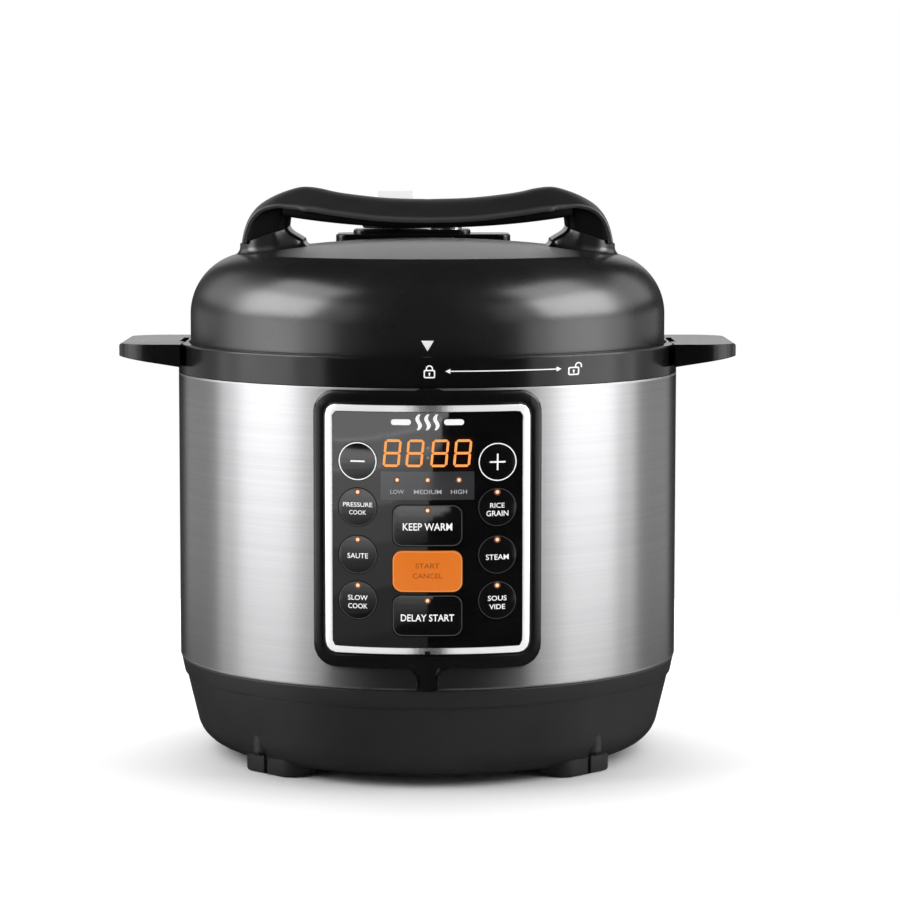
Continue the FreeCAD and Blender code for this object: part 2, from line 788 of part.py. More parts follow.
def sensor():
    """Sprung temperature sensor in the middle of the plate, with its spring and holder."""
    finish_part("temperature_sensor", turned("sensor_section", [
        ("0", "sensor_stem_bottom"),
        ("sensor_stem", "sensor_stem_bottom"),
        ("sensor_stem", "sensor_top - sensor_cap"),
        ("sensor_radius", "sensor_top - sensor_cap"),
        ("sensor_radius", "sensor_top - 1"),
        ("sensor_radius - 1", "sensor_top"),
        ("0", "sensor_top"),
    ]))
    finish_part("sensor_spring", helix_spring(
        "sensor_spring_coil", "spring_radius", "spring_wire", "liner_bottom + holder_lip",
        "sensor_top - sensor_cap", 5))
    finish_part("sensor_holder", turned("holder_section", [
        ("sensor_stem + 0.25", "liner_bottom - holder_wall"),
        ("liner_hole + holder_wall", "liner_bottom - holder_wall"),
        ("liner_hole + holder_wall", "liner_bottom"),
        ("liner_hole", "liner_bottom"),
        ("liner_hole", "liner_bottom + holder_lip"),
        ("sensor_stem + 0.25", "liner_bottom + holder_lip"),
    ]))


def inner_pot():
    """Removable cooking pot with a rolled rim."""
    wall = turned("pot_section", [
        ("0", "pot_bottom"),
        ("pot_radius - pot_corner", "pot_bottom"),
        arc("pot_corner", 1),
        ("pot_radius", "pot_bottom + pot_corner"),
        ("pot_radius", "pot_rim_top - pot_rim_height"),
        ("pot_rim_radius", "pot_rim_top - pot_rim_height"),
        ("pot_rim_radius", "pot_rim_top"),
        ("pot_radius", "pot_rim_top"),
        ("pot_radius - pot_wall", "pot_rim_top - 1.2"),
        ("pot_radius - pot_wall", "pot_bottom + pot_corner"),
        arc("pot_corner - pot_wall", -1),
        ("pot_radius - pot_corner", "pot_bottom + pot_wall"),
        ("0", "pot_bottom + pot_wall"),
    ])
    finish_part("inner_pot", wall)


# ------------------------------------------------------------------- lid
def handle_envelope(name):
    """Front view of the handle and pedestals: ridge line, both legs and the finger gap."""
    return extruded(name, "XZ_Plane", [
        ("-grip_foot_at", "pedestal_bottom"),
        ("-grip_leg_foot_at", "pedestal_bottom"),
        ("-grip_leg_inner_at", "grip_seam_inner"),
        ("-grip_leg_top_at", "grip_under_end"),
        arc(swing("grip_leg_top_at", "(grip_under_end - grip_under)"), 1),
        ("grip_leg_top_at", "grip_under_end"),
        ("grip_leg_inner_at", "grip_seam_inner"),
        ("grip_leg_foot_at", "pedestal_bottom"),
        ("grip_foot_at", "pedestal_bottom"),
        ("grip_outer_at", "grip_outer"),
        arc("grip_shoulder_turn", 1),
        ("grip_shoulder_at", "grip_shoulder"),
        arc("grip_peak_turn", 1),
        ("grip_peak_at", "grip_peak"),
        arc(swing("grip_peak_at", "(grip_peak - grip_ridge)"), -1),
        ("-grip_peak_at", "grip_peak"),
        arc("grip_peak_turn", 1),
        ("-grip_shoulder_at", "grip_shoulder"),
        arc("grip_shoulder_turn", 1),
        ("-grip_outer_at", "grip_outer"),
    ], "grip_half * 2 + 10")


def handle_block(name):
    """The whole bridge from above and from the side: a crowned bar, narrower at its ends."""
    crown = extruded(f"{name}_crown", "YZ_Plane", [
        ("-grip_half", "crown_edge - 10"),
        ("grip_half", "crown_edge - 10"),
        ("grip_half", "grip_edge"),
        arc(swing("grip_half", "(grip_peak - grip_edge)"), 1),
        ("-grip_half", "grip_edge"),
    ], "grip_foot_at * 2 + 20")
    plan = extruded(f"{name}_plan", "XY_Plane", [
        ("-grip_foot_at - 2", "-grip_end_half + grip_foot_taper"),
        ("-grip_shoulder_at", "-grip_end_half"),
        arc(swing("grip_shoulder_at", "(grip_half - grip_end_half)"), 1),
        ("grip_shoulder_at", "-grip_end_half"),
        ("grip_foot_at + 2", "-grip_end_half + grip_foot_taper"),
        ("grip_foot_at + 2", "grip_end_half - grip_foot_taper"),
        ("grip_shoulder_at", "grip_end_half"),
        arc(swing("grip_shoulder_at", "(grip_half - grip_end_half)"), 1),
        ("-grip_shoulder_at", "grip_end_half"),
        ("-grip_foot_at - 2", "grip_end_half - grip_foot_taper"),
    ], "60", "crown_edge - 10")
    return [crown, plan]


def seam_knife(name, above):
    """Everything above or below the sloping seams between the legs and their pedestals."""
    far = "grip_peak + 20" if above else "crown_edge - 30"
    low = f"grip_seam_outer - 10 * {SEAM_SLOPE}"
    return extruded(name, "XZ_Plane", [
        ("-grip_foot_at - 10", far),
        ("-grip_foot_at - 10", low),
        ("-grip_leg_inner_at", "grip_seam_inner"),
        ("grip_leg_inner_at", "grip_seam_inner"),
        ("grip_foot_at + 10", low),
        ("grip_foot_at + 10", far),
    ], "grip_half * 2 + 30")


def lid_handle():
    """Bridge handle; its screws come up from inside the pedestals."""
    whole = common("handle_whole", [handle_envelope("handle_front")] + handle_block("handle"))
    raw = cut("handle_raw", whole, seam_knife("handle_seam", False))
    holes, screws = [], []
    for index, (x, y) in enumerate(HANDLE_SCREWS):
        holes.append(rod(f"handle_hole_{index}", "screw_radius", "handle_screw_level",
                         "handle_screw_top", x, y))
        shank = rod(f"handle_shank_{index}", "screw_radius", "handle_screw_level",
                    "handle_screw_top", x, y)
        head = rod(f"handle_head_{index}", "screw_head_radius", "handle_screw_level - screw_head",
                   "handle_screw_level", x, y)
        screws.append(fuse(f"handle_screw_{index}", [shank, head]))
    finish_part("lid_handle", cut("lid_handle_cut", raw, fuse("handle_holes", holes)))
    finish_part("handle_screws", group("handle_screws_group", screws))


def lid_cover():
    """Black outer lid shell with two handle pedestals, screw bosses and the valve holes."""
    shell = turned("cover_section", [
        ("lid_radius - lid_wall", "lid_edge"),
        ("lid_radius", "lid_edge"),
        ("lid_radius", "shoulder_centre"),
        arc("shoulder_radius", 1),
        ("crown_reach", "crown_edge"),
        arc(CROWN_RADIUS, 1),
        ("0", "crown_top"),
        ("0", "crown_top - lid_wall"),
        arc(f"{CROWN_RADIUS} - lid_wall", -1),
        (UNDER_REACH, UNDER_EDGE),
        arc("shoulder_radius - lid_wall", -1),
        ("lid_radius - lid_wall", "shoulder_centre"),
    ])
    block = common("pedestal_whole", [handle_envelope("pedestal_front")] + handle_block("pedestal"))
    solids = [shell, cut("pedestals", block, seam_knife("pedestal_seam", True))]
    holes = [rod("cover_pipe_hole", "pipe_radius", "seal_plate_top", "grip_peak",
                 "valve_at", "valve_back"),
             rod("cover_float_hole", "guard_radius - 2", "seal_plate_top", "grip_peak",
                 "float_at", "valve_back")]
    for angle in COVER_BOSSES:
        boss = rod(f"cover_boss_{angle}", "boss_radius", "seal_plate_top", "crown_top - 3.8",
                   "boss_circle")
        hole = rod(f"boss_hole_{angle}", "screw_radius", "seal_plate_top - 1",
                   "seal_plate_top + 10", "boss_circle")
        solids.append(at_angle(boss, angle))
        holes.append(at_angle(hole, angle))
    for index, (x, y) in enumerate(HANDLE_SCREWS):
        holes.append(rod(f"pedestal_hole_{index}", "screw_radius", "handle_screw_level - 10",
                         "grip_peak", x, y))
    whole = fuse("cover_whole", solids)
    finish_part("lid_cover", cut("lid_cover_cut", whole, fuse("cover_holes", holes)))


def inner_lid():
    """Pressed steel lid with a skirt and inward bayonet lugs."""
    shell = turned("inner_lid_section", [
        ("seal_plate_radius - seal_plate_wall", "seal_plate_edge"),
        ("seal_plate_radius", "seal_plate_edge"),
        ("seal_plate_radius", "seal_plate_shoulder"),
        ("seal_plate_flat", "seal_plate_shoulder + 5"),
        ("seal_plate_flat - 16", "seal_plate_top"),
        ("0", "seal_plate_top"),
        ("0", "seal_plate_top - seal_plate_wall"),
        ("seal_plate_flat - 16.6", "seal_plate_top - seal_plate_wall"),
        ("seal_plate_flat - 0.6", "seal_plate_shoulder + 5 - seal_plate_wall"),
        ("seal_plate_radius - seal_plate_wall", "seal_plate_shoulder - seal_plate_wall"),
    ])
    lugs = []
    for index, angle in enumerate(around(value("lug_count"))):
        lugs.append(sector(f"lid_lug_{index}", "seal_plate_radius - 0.5", "lug_angle",
                           "seal_plate_edge", "seal_plate_edge + lid_lug_height", angle))
    core = rod("lid_lug_core", "lid_lug_inner", "seal_plate_edge - 1",
               "seal_plate_edge + lid_lug_height + 1")
    ring = cut("lid_lug_ring", fuse("lid_lugs", lugs), core)
    holes = [rod("inner_lid_pipe_hole", "pipe_radius", "seal_plate_edge", "seal_plate_top + 1",
                 "valve_at", "valve_back"),
             rod("inner_lid_float_hole", "float_radius + 1.6", "seal_plate_edge",
                 "seal_plate_top + 1", "float_at", "valve_back")]
    screws = []
    underside = "seal_plate_top - seal_plate_wall"
    for angle in COVER_BOSSES:
        hole = rod(f"inner_lid_hole_{angle}", "screw_radius", "seal_plate_edge",
                   "seal_plate_top + 1", "boss_circle")
        holes.append(at_angle(hole, angle))
        shank = rod(f"lid_shank_{angle}", "screw_radius", underside, "seal_plate_top + 10",
                    "boss_circle")
        head = rod(f"lid_head_{angle}", "screw_head_radius", f"{underside} - screw_head", underside,
                   "boss_circle")
        screws.append(fuse(f"lid_screw_{angle}", [at_angle(shank, angle), at_angle(head, angle)]))
    whole = fuse("inner_lid_whole", [shell, ring])
    finish_part("inner_lid", cut("inner_lid_cut", whole, fuse("inner_lid_holes", holes)))
    finish_part("lid_screws", group("lid_screws_group", screws))


def sealing_ring():
    """Silicone seal on the pot's rim, and the wire rack that holds it up."""
    finish_part("sealing_ring", turned("seal_section", [
        ("seal_inner", "seal_bottom"),
        ("seal_outer", "seal_bottom"),
        ("seal_outer", "seal_top"),
        ("seal_inner", "seal_top"),
        ("seal_inner", "seal_top - seal_lip"),
        ("seal_outer - seal_lip", "seal_top - seal_lip"),
        ("seal_outer - seal_lip", "seal_bottom + seal_lip"),
        ("seal_inner", "seal_bottom + seal_lip"),
    ]))
    rack = tool("Part::Torus", "rack_loop", Radius1="rack_radius", Radius2="rack_wire")
    place(rack, up="(seal_bottom + seal_top) / 2")
    finish_part("sealing_ring_rack", rack)


# ------------------------------------------------------------------- steam valve group
def valve_deck():
    """Two-step black plate behind the handle that carries the valves."""
    low = extruded("deck_low", "XY_Plane", rounded_box_path(
        "deck_left", "deck_right", "deck_front", "deck_back", "deck_corner"),
        "deck_top - crown_edge + 1", "crown_edge - 1")
    high = extruded("deck_high", "XY_Plane", rounded_box_path(
        "tier_left", "tier_right", "tier_front", "tier_back", "tier_corner"),
        "tier_top - crown_edge", "crown_edge")
    ball = tool("Part::Sphere", "crown_ball", Radius=CROWN_RADIUS)
    place(ball, up=CROWN_CENTRE)
    pipe = rod("deck_pipe_hole", "pipe_radius", "crown_edge - 10", "grip_peak",
               "valve_at", "valve_back")
    guard = rod("deck_float_hole", "guard_radius", "crown_edge - 10", "grip_peak",
                "float_at", "valve_back")
    whole = fuse("deck_whole", [low, high])
    finish_part("valve_deck", cut("valve_deck_cut", whole, fuse("deck_holes", [pipe, guard, ball])))


def steam_valve():
    """Turning steam knob on its exhaust pipe, with the nut and screen below."""
    knob = turned("knob_section", [
        ("0", "pipe_top + 0.6"),
        ("pipe_radius + 0.6", "pipe_top + 0.6"),
        ("pipe_radius + 0.6", "knob_bottom"),
        ("knob_radius - 1.5", "knob_bottom"),
        ("knob_radius", "knob_bottom + 1.5"),
        ("knob_radius", "knob_shoulder - 3"),
        arc("3", 1),
        ("knob_radius - 3", "knob_shoulder"),
        ("0", "knob_shoulder"),
    ])
    tab = extruded("knob_tab", "XY_Plane", rounded_box_path(
        "-knob_radius + 7", "knob_radius - 7", "-knob_tab_half", "knob_tab_half", "3"),
        "knob_top - knob_shoulder + 1", "knob_shoulder - 1")
    whole = fuse("knob_whole", [knob, tab])
    finish_part("steam_valve_knob", place(whole, "valve_at", "valve_back"))
    pipe = turned("pipe_section", [
        ("pipe_bore", "pipe_bottom"),
        ("pipe_radius", "pipe_bottom"),
        ("pipe_radius", "tier_top"),
        ("pipe_radius - 0.5", "tier_top"),
        ("pipe_radius - 0.5", "pipe_top"),
        ("pipe_bore", "pipe_top"),
    ])
    finish_part("exhaust_pipe", place(pipe, "valve_at", "valve_back"))
    prism = tool("Part::Prism", "nut_prism", Circumradius="nut_flats / 2 / cos(30)", Height="nut_height")
    prism.Polygon = 6
    place(prism, up="seal_plate_top - seal_plate_wall - nut_height")
    bore = rod("nut_bore", "pipe_radius", "pipe_bottom", "seal_plate_top")
    nut = cut("nut_cut", prism, bore)
    finish_part("exhaust_nut", place(nut, "valve_at", "valve_back"))
    shield = turned("shield_section", [
        ("pipe_radius + 1", "pipe_bottom - 3"),
        ("shield_radius - 2", "pipe_bottom - 3"),
        ("shield_radius", "pipe_bottom - 1"),
        ("shield_radius", "pipe_bottom + shield_height"),
        ("shield_radius - 1.2", "pipe_bottom + shield_height"),
        ("shield_radius - 1.2", "pipe_bottom"),
        ("pipe_radius + 1", "pipe_bottom"),
    ])
    finish_part("anti_block_shield", place(shield, "valve_at", "valve_back"))


def float_valve():
    """Float valve pin, its seal below the lid and the bright guard round its top."""
    pin = turned("float_section", [
        ("0", "float_bottom"),
        ("float_head", "float_bottom"),
        ("float_head", "float_bottom + 2"),
        ("float_radius", "float_bottom + 2"),
        ("float_radius", "float_top - 1"),
        ("float_radius - 1", "float_top"),
        ("0", "float_top"),
    ])
    finish_part("float_valve", place(pin, "float_at", "valve_back"))
    seal = turned("float_seal_section", [
        ("float_radius + 0.3", "seal_plate_top - seal_plate_wall - 1.6"),
        ("float_radius + 4", "seal_plate_top - seal_plate_wall - 1.6"),
        ("float_radius + 4", "seal_plate_top - seal_plate_wall"),
        ("float_radius + 1.6", "seal_plate_top - seal_plate_wall"),
        ("float_radius + 1.6", "seal_plate_top"),
        ("float_radius + 3.4", "seal_plate_top"),
        ("float_radius + 3.4", "seal_plate_top + 1.4"),
        ("float_radius + 0.3", "seal_plate_top + 1.4"),
    ])
    finish_part("float_valve_seal", place(seal, "float_at", "valve_back"))
    guard = turned("guard_section", [
        ("float_radius + 0.5", "crown_edge + 2"),
        ("guard_radius - 2", "crown_edge + 2"),
        ("guard_radius - 2", "crown_top - 2"),
        ("guard_radius", "crown_top - 2"),
        ("guard_radius", "guard_top - 1"),
        ("guard_radius - 1", "guard_top"),
        ("float_radius + 2.5", "guard_top"),
        ("float_radius + 0.5", "guard_top - 2"),
    ])
    finish_part("float_guard", place(guard, "float_at", "valve_back"))


# ------------------------------------------------------------------- control panel
def key_outline(name, across, up, kind, extra):
    """A key's prism, or with extra the hole it moves in."""
    if kind == "round":
        return front_disc(name, f"{across}", f"{up}", f"round_key + {extra}")
    return front_prism(name, f"{across} - wide_key / 2 - {extra}", f"{across} + wide_key / 2 + {extra}",
                       f"{up} - wide_key_height / 2 - {extra}", f"{up} + wide_key_height / 2 + {extra}",
                       "wide_key_corner")


def control_panel():
    """Curved bezel, bright trim and glossy lens on the front of the sleeve."""
    trim_edges = ("-trim_half", "trim_half", "trim_low", "trim_high", "trim_corner")
    lens_edges = ("-trim_half + trim_width", "trim_half - trim_width",
                  "trim_low + trim_width", "trim_high - trim_width", "lens_corner")
    face = front_prism("bezel_face", "-bezel_half", "bezel_half", "bezel_low", "bezel_high",
                       "bezel_corner")
    tabs = box("bezel_tabs", ("-tab_half", "-body_radius - 20", "sleeve_bottom"),
               ("tab_half", "-body_radius + 20", "sleeve_top"))
    frame = cut("bezel_frame", fuse("bezel_outline", [face, tabs]),
                front_prism("bezel_opening", *trim_edges))
    finish_part("panel_bezel", curved_plate("panel_bezel_plate", frame, "body_radius", "panel_radius"))

    rim = cut("trim_frame", front_prism("trim_face", *trim_edges),
              front_prism("trim_opening", *lens_edges))
    finish_part("panel_trim", curved_plate("panel_trim_plate", rim, "body_radius",
                                           "panel_radius + trim_proud"))

    holes = [key_outline(f"{name}_hole", across, up, kind, "key_gap")
             for name, across, up, kind in KEYS]
    glass = cut("lens_keyed", front_prism("lens_face", *lens_edges), fuse("lens_holes", holes))
    finish_part("panel_lens", curved_plate("panel_lens_plate", glass, "body_radius", "panel_radius"))


def keys():
    """The touch keys, each a separate curved cap in its own hole."""
    for name, across, up, kind in KEYS:
        face = key_outline(f"{name}_face", across, up, kind, "0")
        finish_part(name, curved_plate(f"{name}_cap", face, "key_back", "panel_radius + key_proud"))


def panel_board():
    """Flat board behind the panel with its display, a switch per key and the light guides."""
    board = box("control_board_box", ("-board_half", "-board_face", "trim_low"),
                ("board_half", "-board_face + board_wall", "trim_high"))
    finish_part("control_board", board)
    display = box("display_box", ("-display_half", "-board_face - display_depth", "display_low"),
                  ("display_half", "-board_face", "display_high"))
    finish_part("display_module", display)
    switches, lights = [], []
    half = "switch_width / 2"
    for name, across, up, kind in KEYS:
        cap_back = f"sqrt(key_back ^ 2 - ({abs(across)} + {half}) ^ 2)"
        reach = f"{cap_back} - board_face - key_travel - key_gap"
        switches.append(box(f"{name}_switch",
                            (f"{across} - {half}", f"-board_face - ({reach})", f"{up} - {half}"),
                            (f"{across} + {half}", "-board_face", f"{up} + {half}")))
        if name not in UNLIT_KEYS:
            pipe = tool("Part::Cylinder", f"{name}_light", Radius="led_radius", Height=reach)
            pipe.Placement = Placement(Vector(), Rotation(Vector(1, 0, 0), 90))
            lights.append(place(pipe, across, "-board_face", f"{up} + led_above_key"))
    finish_part("key_switches", group("key_switches_group", switches))
    finish_part("key_lights", group("key_lights_group", lights))


def mains_electronics():
    """Power board on its posts in the base, the thermal fuse and the pressure switch."""
    top = "board_level + board_wall"
    board = box("mains_board", ("-mains_half", "mains_near", "board_level"),
                ("mains_half", "mains_far", top))
    relay = box("relay", ("-34", "mains_near + 12", top), ("-14", "mains_near + 28", f"{top} + 14"))
    capacitor = rod("capacitor", "6", top, f"{top} + 16", "14", "mains_near + 22")
    terminals = box("terminals", ("-12", "mains_far - 16", top), ("22", "mains_far - 6", f"{top} + 10"))
    finish_part("power_board", fuse("power_board_whole", [board, relay, capacitor, terminals]))
    fuse_tube = tool("Part::Cylinder", "fuse_tube", Radius="fuse_radius", Height="fuse_length")
    fuse_tube.Placement = Placement(Vector(), Rotation(Vector(1, 0, 0), 90))
    finish_part("thermal_fuse", place(fuse_tube, "34", "fuse_length / 2", "plate_bottom - fuse_radius"))
    switch = box("pressure_switch_box", ("-10", "-46", "liner_bottom - 10"),
                 ("10", "-38", "liner_bottom"))
    finish_part("pressure_switch", switch)


# ------------------------------------------------------------------- rear
def power_inlet():
    """Mains inlet with three pins in a recess, at the rear of the sleeve."""
    block = box("inlet_block", ("-inlet_half", "inlet_front", "inlet_level - inlet_height / 2"),
                ("inlet_half", "inlet_face", "inlet_level + inlet_height / 2"))
    recess = box("inlet_recess", ("-socket_half", "socket_floor", "inlet_level - socket_height / 2"),
                 ("socket_half", "inlet_face + 2", "inlet_level + socket_height / 2"))
    finish_part("power_inlet", cut("power_inlet_cut", block, recess))
    pins = []
    for index, (across, up) in enumerate(INLET_PINS):
        level = f"inlet_level + {up}"
        pins.append(box(f"inlet_pin_{index}",
                        (f"{across} - pin_half", "socket_floor", f"{level} - pin_half_height"),
                        (f"{across} + pin_half", "socket_floor + pin_length",
                         f"{level} + pin_half_height")))
    finish_part("inlet_pins", group("inlet_pins_group", pins))


def condensation_cup():
    """Small drip cup that slides out of two rails under the ring at the rear."""
    block = box("cup_block", ("-cup_half", "cup_near", "cup_bottom"),
                ("cup_half", "cup_far", "cup_top"))
    lip = box("cup_lip_plate", ("-cup_half - cup_lip", "cup_near", "cup_top - cup_lip_height"),
              ("cup_half + cup_lip", "cup_far - 3", "cup_top"))
    hollow = box("cup_hollow", ("-cup_half + cup_wall", "cup_near + cup_wall", "cup_bottom + cup_wall"),
                 ("cup_half - cup_wall", "cup_far - cup_wall", "cup_top + 1"))
    whole = fuse("cup_whole", [block, lip])
    finish_part("condensation_cup", cut("condensation_cup_cut", whole, hollow))


def write_parts():
    """Check every object, then write each sub-part to its own file."""
    doc.recompute()
    for thing in doc.Objects:
        if "Invalid" in thing.State or "Error" in thing.State:
            raise RuntimeError(f"{thing.Name} failed: {thing.State}")
    for name, thing in parts.items():
        if thing.Shape.isNull() or not thing.Shape.isValid() or not thing.Shape.Solids:
            raise RuntimeError(f"{name} has no valid solid")
    for name, thing in parts.items():
        thing.Shape.exportStep(f"parts/{name}.step")
        print(f"{name}: {len(thing.Shape.Solids)} solids, {thing.Shape.Volume / 1000:.2f} cm3")
    print(f"{len(parts)} parts")


for build in (steel_sleeve, upper_ring, base_band, base_cover, base_screws, feet, outer_pot, heating_plate,
              sensor, inner_pot, lid_handle, lid_cover, inner_lid, sealing_ring, valve_deck, steam_valve,
              float_valve, control_panel, keys, panel_board, mains_electronics, power_inlet,
              condensation_cup):
    build()
write_parts()
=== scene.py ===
"""Looks of the electric pressure cooker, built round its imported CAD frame.

Units here are metres; outlines are written in millimetres and scaled by MM.
Azimuth 0 is the front (-Y), where the key panel is.
"""

import json
import math

import bmesh
import bpy
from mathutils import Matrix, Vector


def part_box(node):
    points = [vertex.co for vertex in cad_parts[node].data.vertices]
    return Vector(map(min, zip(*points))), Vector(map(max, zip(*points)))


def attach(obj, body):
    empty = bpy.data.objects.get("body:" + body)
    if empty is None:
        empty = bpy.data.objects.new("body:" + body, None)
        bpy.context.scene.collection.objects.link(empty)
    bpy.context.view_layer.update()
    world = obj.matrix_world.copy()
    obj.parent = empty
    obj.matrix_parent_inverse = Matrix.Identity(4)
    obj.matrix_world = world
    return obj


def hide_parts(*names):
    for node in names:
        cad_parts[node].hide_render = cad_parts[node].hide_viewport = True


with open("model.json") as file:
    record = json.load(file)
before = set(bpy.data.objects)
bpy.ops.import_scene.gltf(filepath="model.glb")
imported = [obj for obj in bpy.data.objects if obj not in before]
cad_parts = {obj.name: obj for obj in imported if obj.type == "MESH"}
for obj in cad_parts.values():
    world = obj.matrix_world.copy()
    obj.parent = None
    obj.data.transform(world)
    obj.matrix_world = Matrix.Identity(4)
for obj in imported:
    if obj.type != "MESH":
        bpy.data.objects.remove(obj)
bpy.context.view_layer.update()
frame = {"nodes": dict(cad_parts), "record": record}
nodes = frame["nodes"]
BODY = {node: body for body, inside in frame["record"]["behaviour"]["bodies"].items() for node in inside}
MM = 0.001
ROUND = 360  # steps of a full turn
SIDE = {1: "right", -1: "left"}


# ---- sizes from the frame
def span(node, axis):
    """A node's extent along an axis, in millimetres."""
    low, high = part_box(node)
    return low[axis] / MM, high[axis] / MM


SLEEVE_LOW, SLEEVE_HIGH = span("steel_sleeve", 2)
BODY_R = span("steel_sleeve", 0)[1]
RING_R = 140.0
LID_R = span("lid_cover", 0)[1]
PANEL_R = 143.0
KEY_R = PANEL_R + 0.35
TRIM_R = PANEL_R + 0.55
CROWN_TOP = 288.0
CROWN_EDGE = (104.0, 279.9)
CROWN_BALL = (CROWN_EDGE[0] ** 2 + (CROWN_TOP - CROWN_EDGE[1]) ** 2) / (2 * (CROWN_TOP - CROWN_EDGE[1]))
SHOULDER_R = 34.3
SHOULDER_Z = 246.0


def lid_height(x, y):
    """Height of the lid's outer surface over a point, in millimetres."""
    r = math.hypot(x, y)
    if r <= CROWN_EDGE[0]:
        return CROWN_TOP - CROWN_BALL + math.sqrt(CROWN_BALL ** 2 - r ** 2)
    reach = min(r - (LID_R - SHOULDER_R), SHOULDER_R)
    return SHOULDER_Z + math.sqrt(SHOULDER_R ** 2 - reach ** 2)


# ---- outlines
def arc_points(centre, radius, first, last, steps):
    """Points along an arc, angles in degrees."""
    angles = (math.radians(first + (last - first) * index / steps) for index in range(steps + 1))
    return [(centre[0] + radius * math.cos(angle), centre[1] + radius * math.sin(angle))
            for angle in angles]


def rounded_path(corners, steps=6, closed=True):
    """A path through (x, y, radius) corners, each rounded with that radius."""
    points = []
    for index, (x, y, radius) in enumerate(corners):
        if radius <= 0 or (not closed and index in (0, len(corners) - 1)):
            points.append((x, y))
            continue
        here = Vector((x, y))
        before, after = (Vector(corner[:2]) - here
                         for corner in (corners[index - 1], corners[(index + 1) % len(corners)]))
        half_turn = math.tan(before.angle(after) / 2)
        cut = min(radius / half_turn, before.length * 0.499, after.length * 0.499)
        fitted = cut * half_turn
        before.normalize()
        after.normalize()
        centre = here + (before + after).normalized() * math.hypot(cut, fitted)
        start, end = (math.atan2(*reversed(here + way * cut - centre)) for way in (before, after))
        sweep = (end - start + math.pi) % (2 * math.pi) - math.pi
        for step in range(steps + 1):
            angle = start + sweep * step / steps
            points.append((centre.x + fitted * math.cos(angle), centre.y + fitted * math.sin(angle)))
    return points


def rounded_box(left, right, low, high, corner, steps=8):
    """A rounded rectangle, counter-clockwise."""
    return rounded_path([(left, low, corner), (right, low, corner), (right, high, corner),
                         (left, high, corner)], steps)


def inset(points, distance):
    """A closed counter-clockwise outline moved inwards by a distance."""
    moved = []
    for index, place in enumerate(points):
        here = Vector(place)
        one = (here - Vector(points[index - 1])).normalized()
        two = (Vector(points[(index + 1) % len(points)]) - here).normalized()
        along = (one + two).normalized() if (one + two).length > 1e-9 else two
        cosine = max(0.3, along.dot(two) if two.length else 1.0)
        moved.append(tuple(here + Vector((-along.y, along.x)) * (distance / cosine)))
    return moved


# ---- meshes
def shown(name, data):
    """A new object in the scene."""
    thing = bpy.data.objects.new(name, data)
    bpy.context.scene.collection.objects.link(thing)
    return thing


def unpack(work, name):
    """A mesh with a working mesh's contents, which is then given back."""
    mesh = bpy.data.meshes.new(name)
    work.to_mesh(mesh)
    work.free()
    return mesh


def piece(name, solid, material, node, sharp=35.0):
    """A mesh object in metres from vertices in millimetres and faces, in place of a CAD node."""
    vertices, faces = solid
    mesh = bpy.data.meshes.new(name)
    mesh.from_pydata([(x * MM, y * MM, z * MM) for x, y, z in vertices], [], faces)
    return dress(name, mesh, material, node, sharp=sharp)


def dress(name, mesh, material, node=None, body=None, sharp=35.0):
    """Clean and shade a mesh and let it ride, in place of a CAD node if one is given."""
    work = bmesh.new()
    work.from_mesh(mesh)
    bmesh.ops.remove_doubles(work, verts=work.verts, dist=1e-7)
    bmesh.ops.recalc_face_normals(work, faces=work.faces)
    work.to_mesh(mesh)
    work.free()
    mesh.shade_smooth()
    mesh.set_sharp_from_angle(angle=math.radians(sharp))
    mesh.materials.append(material)
    thing = shown(name, mesh)
    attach(thing, body or BODY[node])
    if node:
        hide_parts(node)
    return thing


def working(vertices, faces):
    """A working mesh of vertices and faces."""
    work = bmesh.new()
    made = [work.verts.new(vertex) for vertex in vertices]
    for face in faces:
        work.faces.new([made[index] for index in face])
    return work


def lathe(profile, steps=256, closed=True):
    """Vertices and faces of a profile of (radius, height) turned about Z."""
    vertices, faces = [], []
    rows = len(profile)
    for step in range(steps):
        angle = 2 * math.pi * step / steps
        for radius, height in profile:
            vertices.append((radius * math.cos(angle), radius * math.sin(angle), height))
    last = rows if closed else rows - 1
    for step in range(steps):
        other = (step + 1) % steps
        for row in range(last):
            up = (row + 1) % rows
            faces.append((step * rows + row, other * rows + row, other * rows + up, step * rows + up))
    return vertices, faces


def moved(solid, across, back):
    """Vertices and faces, shifted level by a distance."""
    return [(x + across, y + back, z) for x, y, z in solid[0]], solid[1]


def stack(loops, caps=True):
    """Faces joining closed loops of equal length, with both ends filled if caps is set."""
    count, levels = len(loops[0]), len(loops)
    vertices = [point for loop in loops for point in loop]
    faces = []
    for start in range(0, (levels - 1) * count, count):
        for index in range(count):
            one, two = start + index, start + (index + 1) % count
            faces.append((one, two, two + count, one + count))
    if caps:
        faces += [tuple(reversed(range(count))), tuple(range((levels - 1) * count, levels * count))]
    return vertices, faces


def wrap(work):
    """Bend a mesh of (across, radius, up) vertices round the cooker's axis, chord kept."""
    for vertex in work.verts:
        across, radius, up = vertex.co
        vertex.co = (across * MM, -math.sqrt(max(radius ** 2 - across ** 2, 0)) * MM, up * MM)


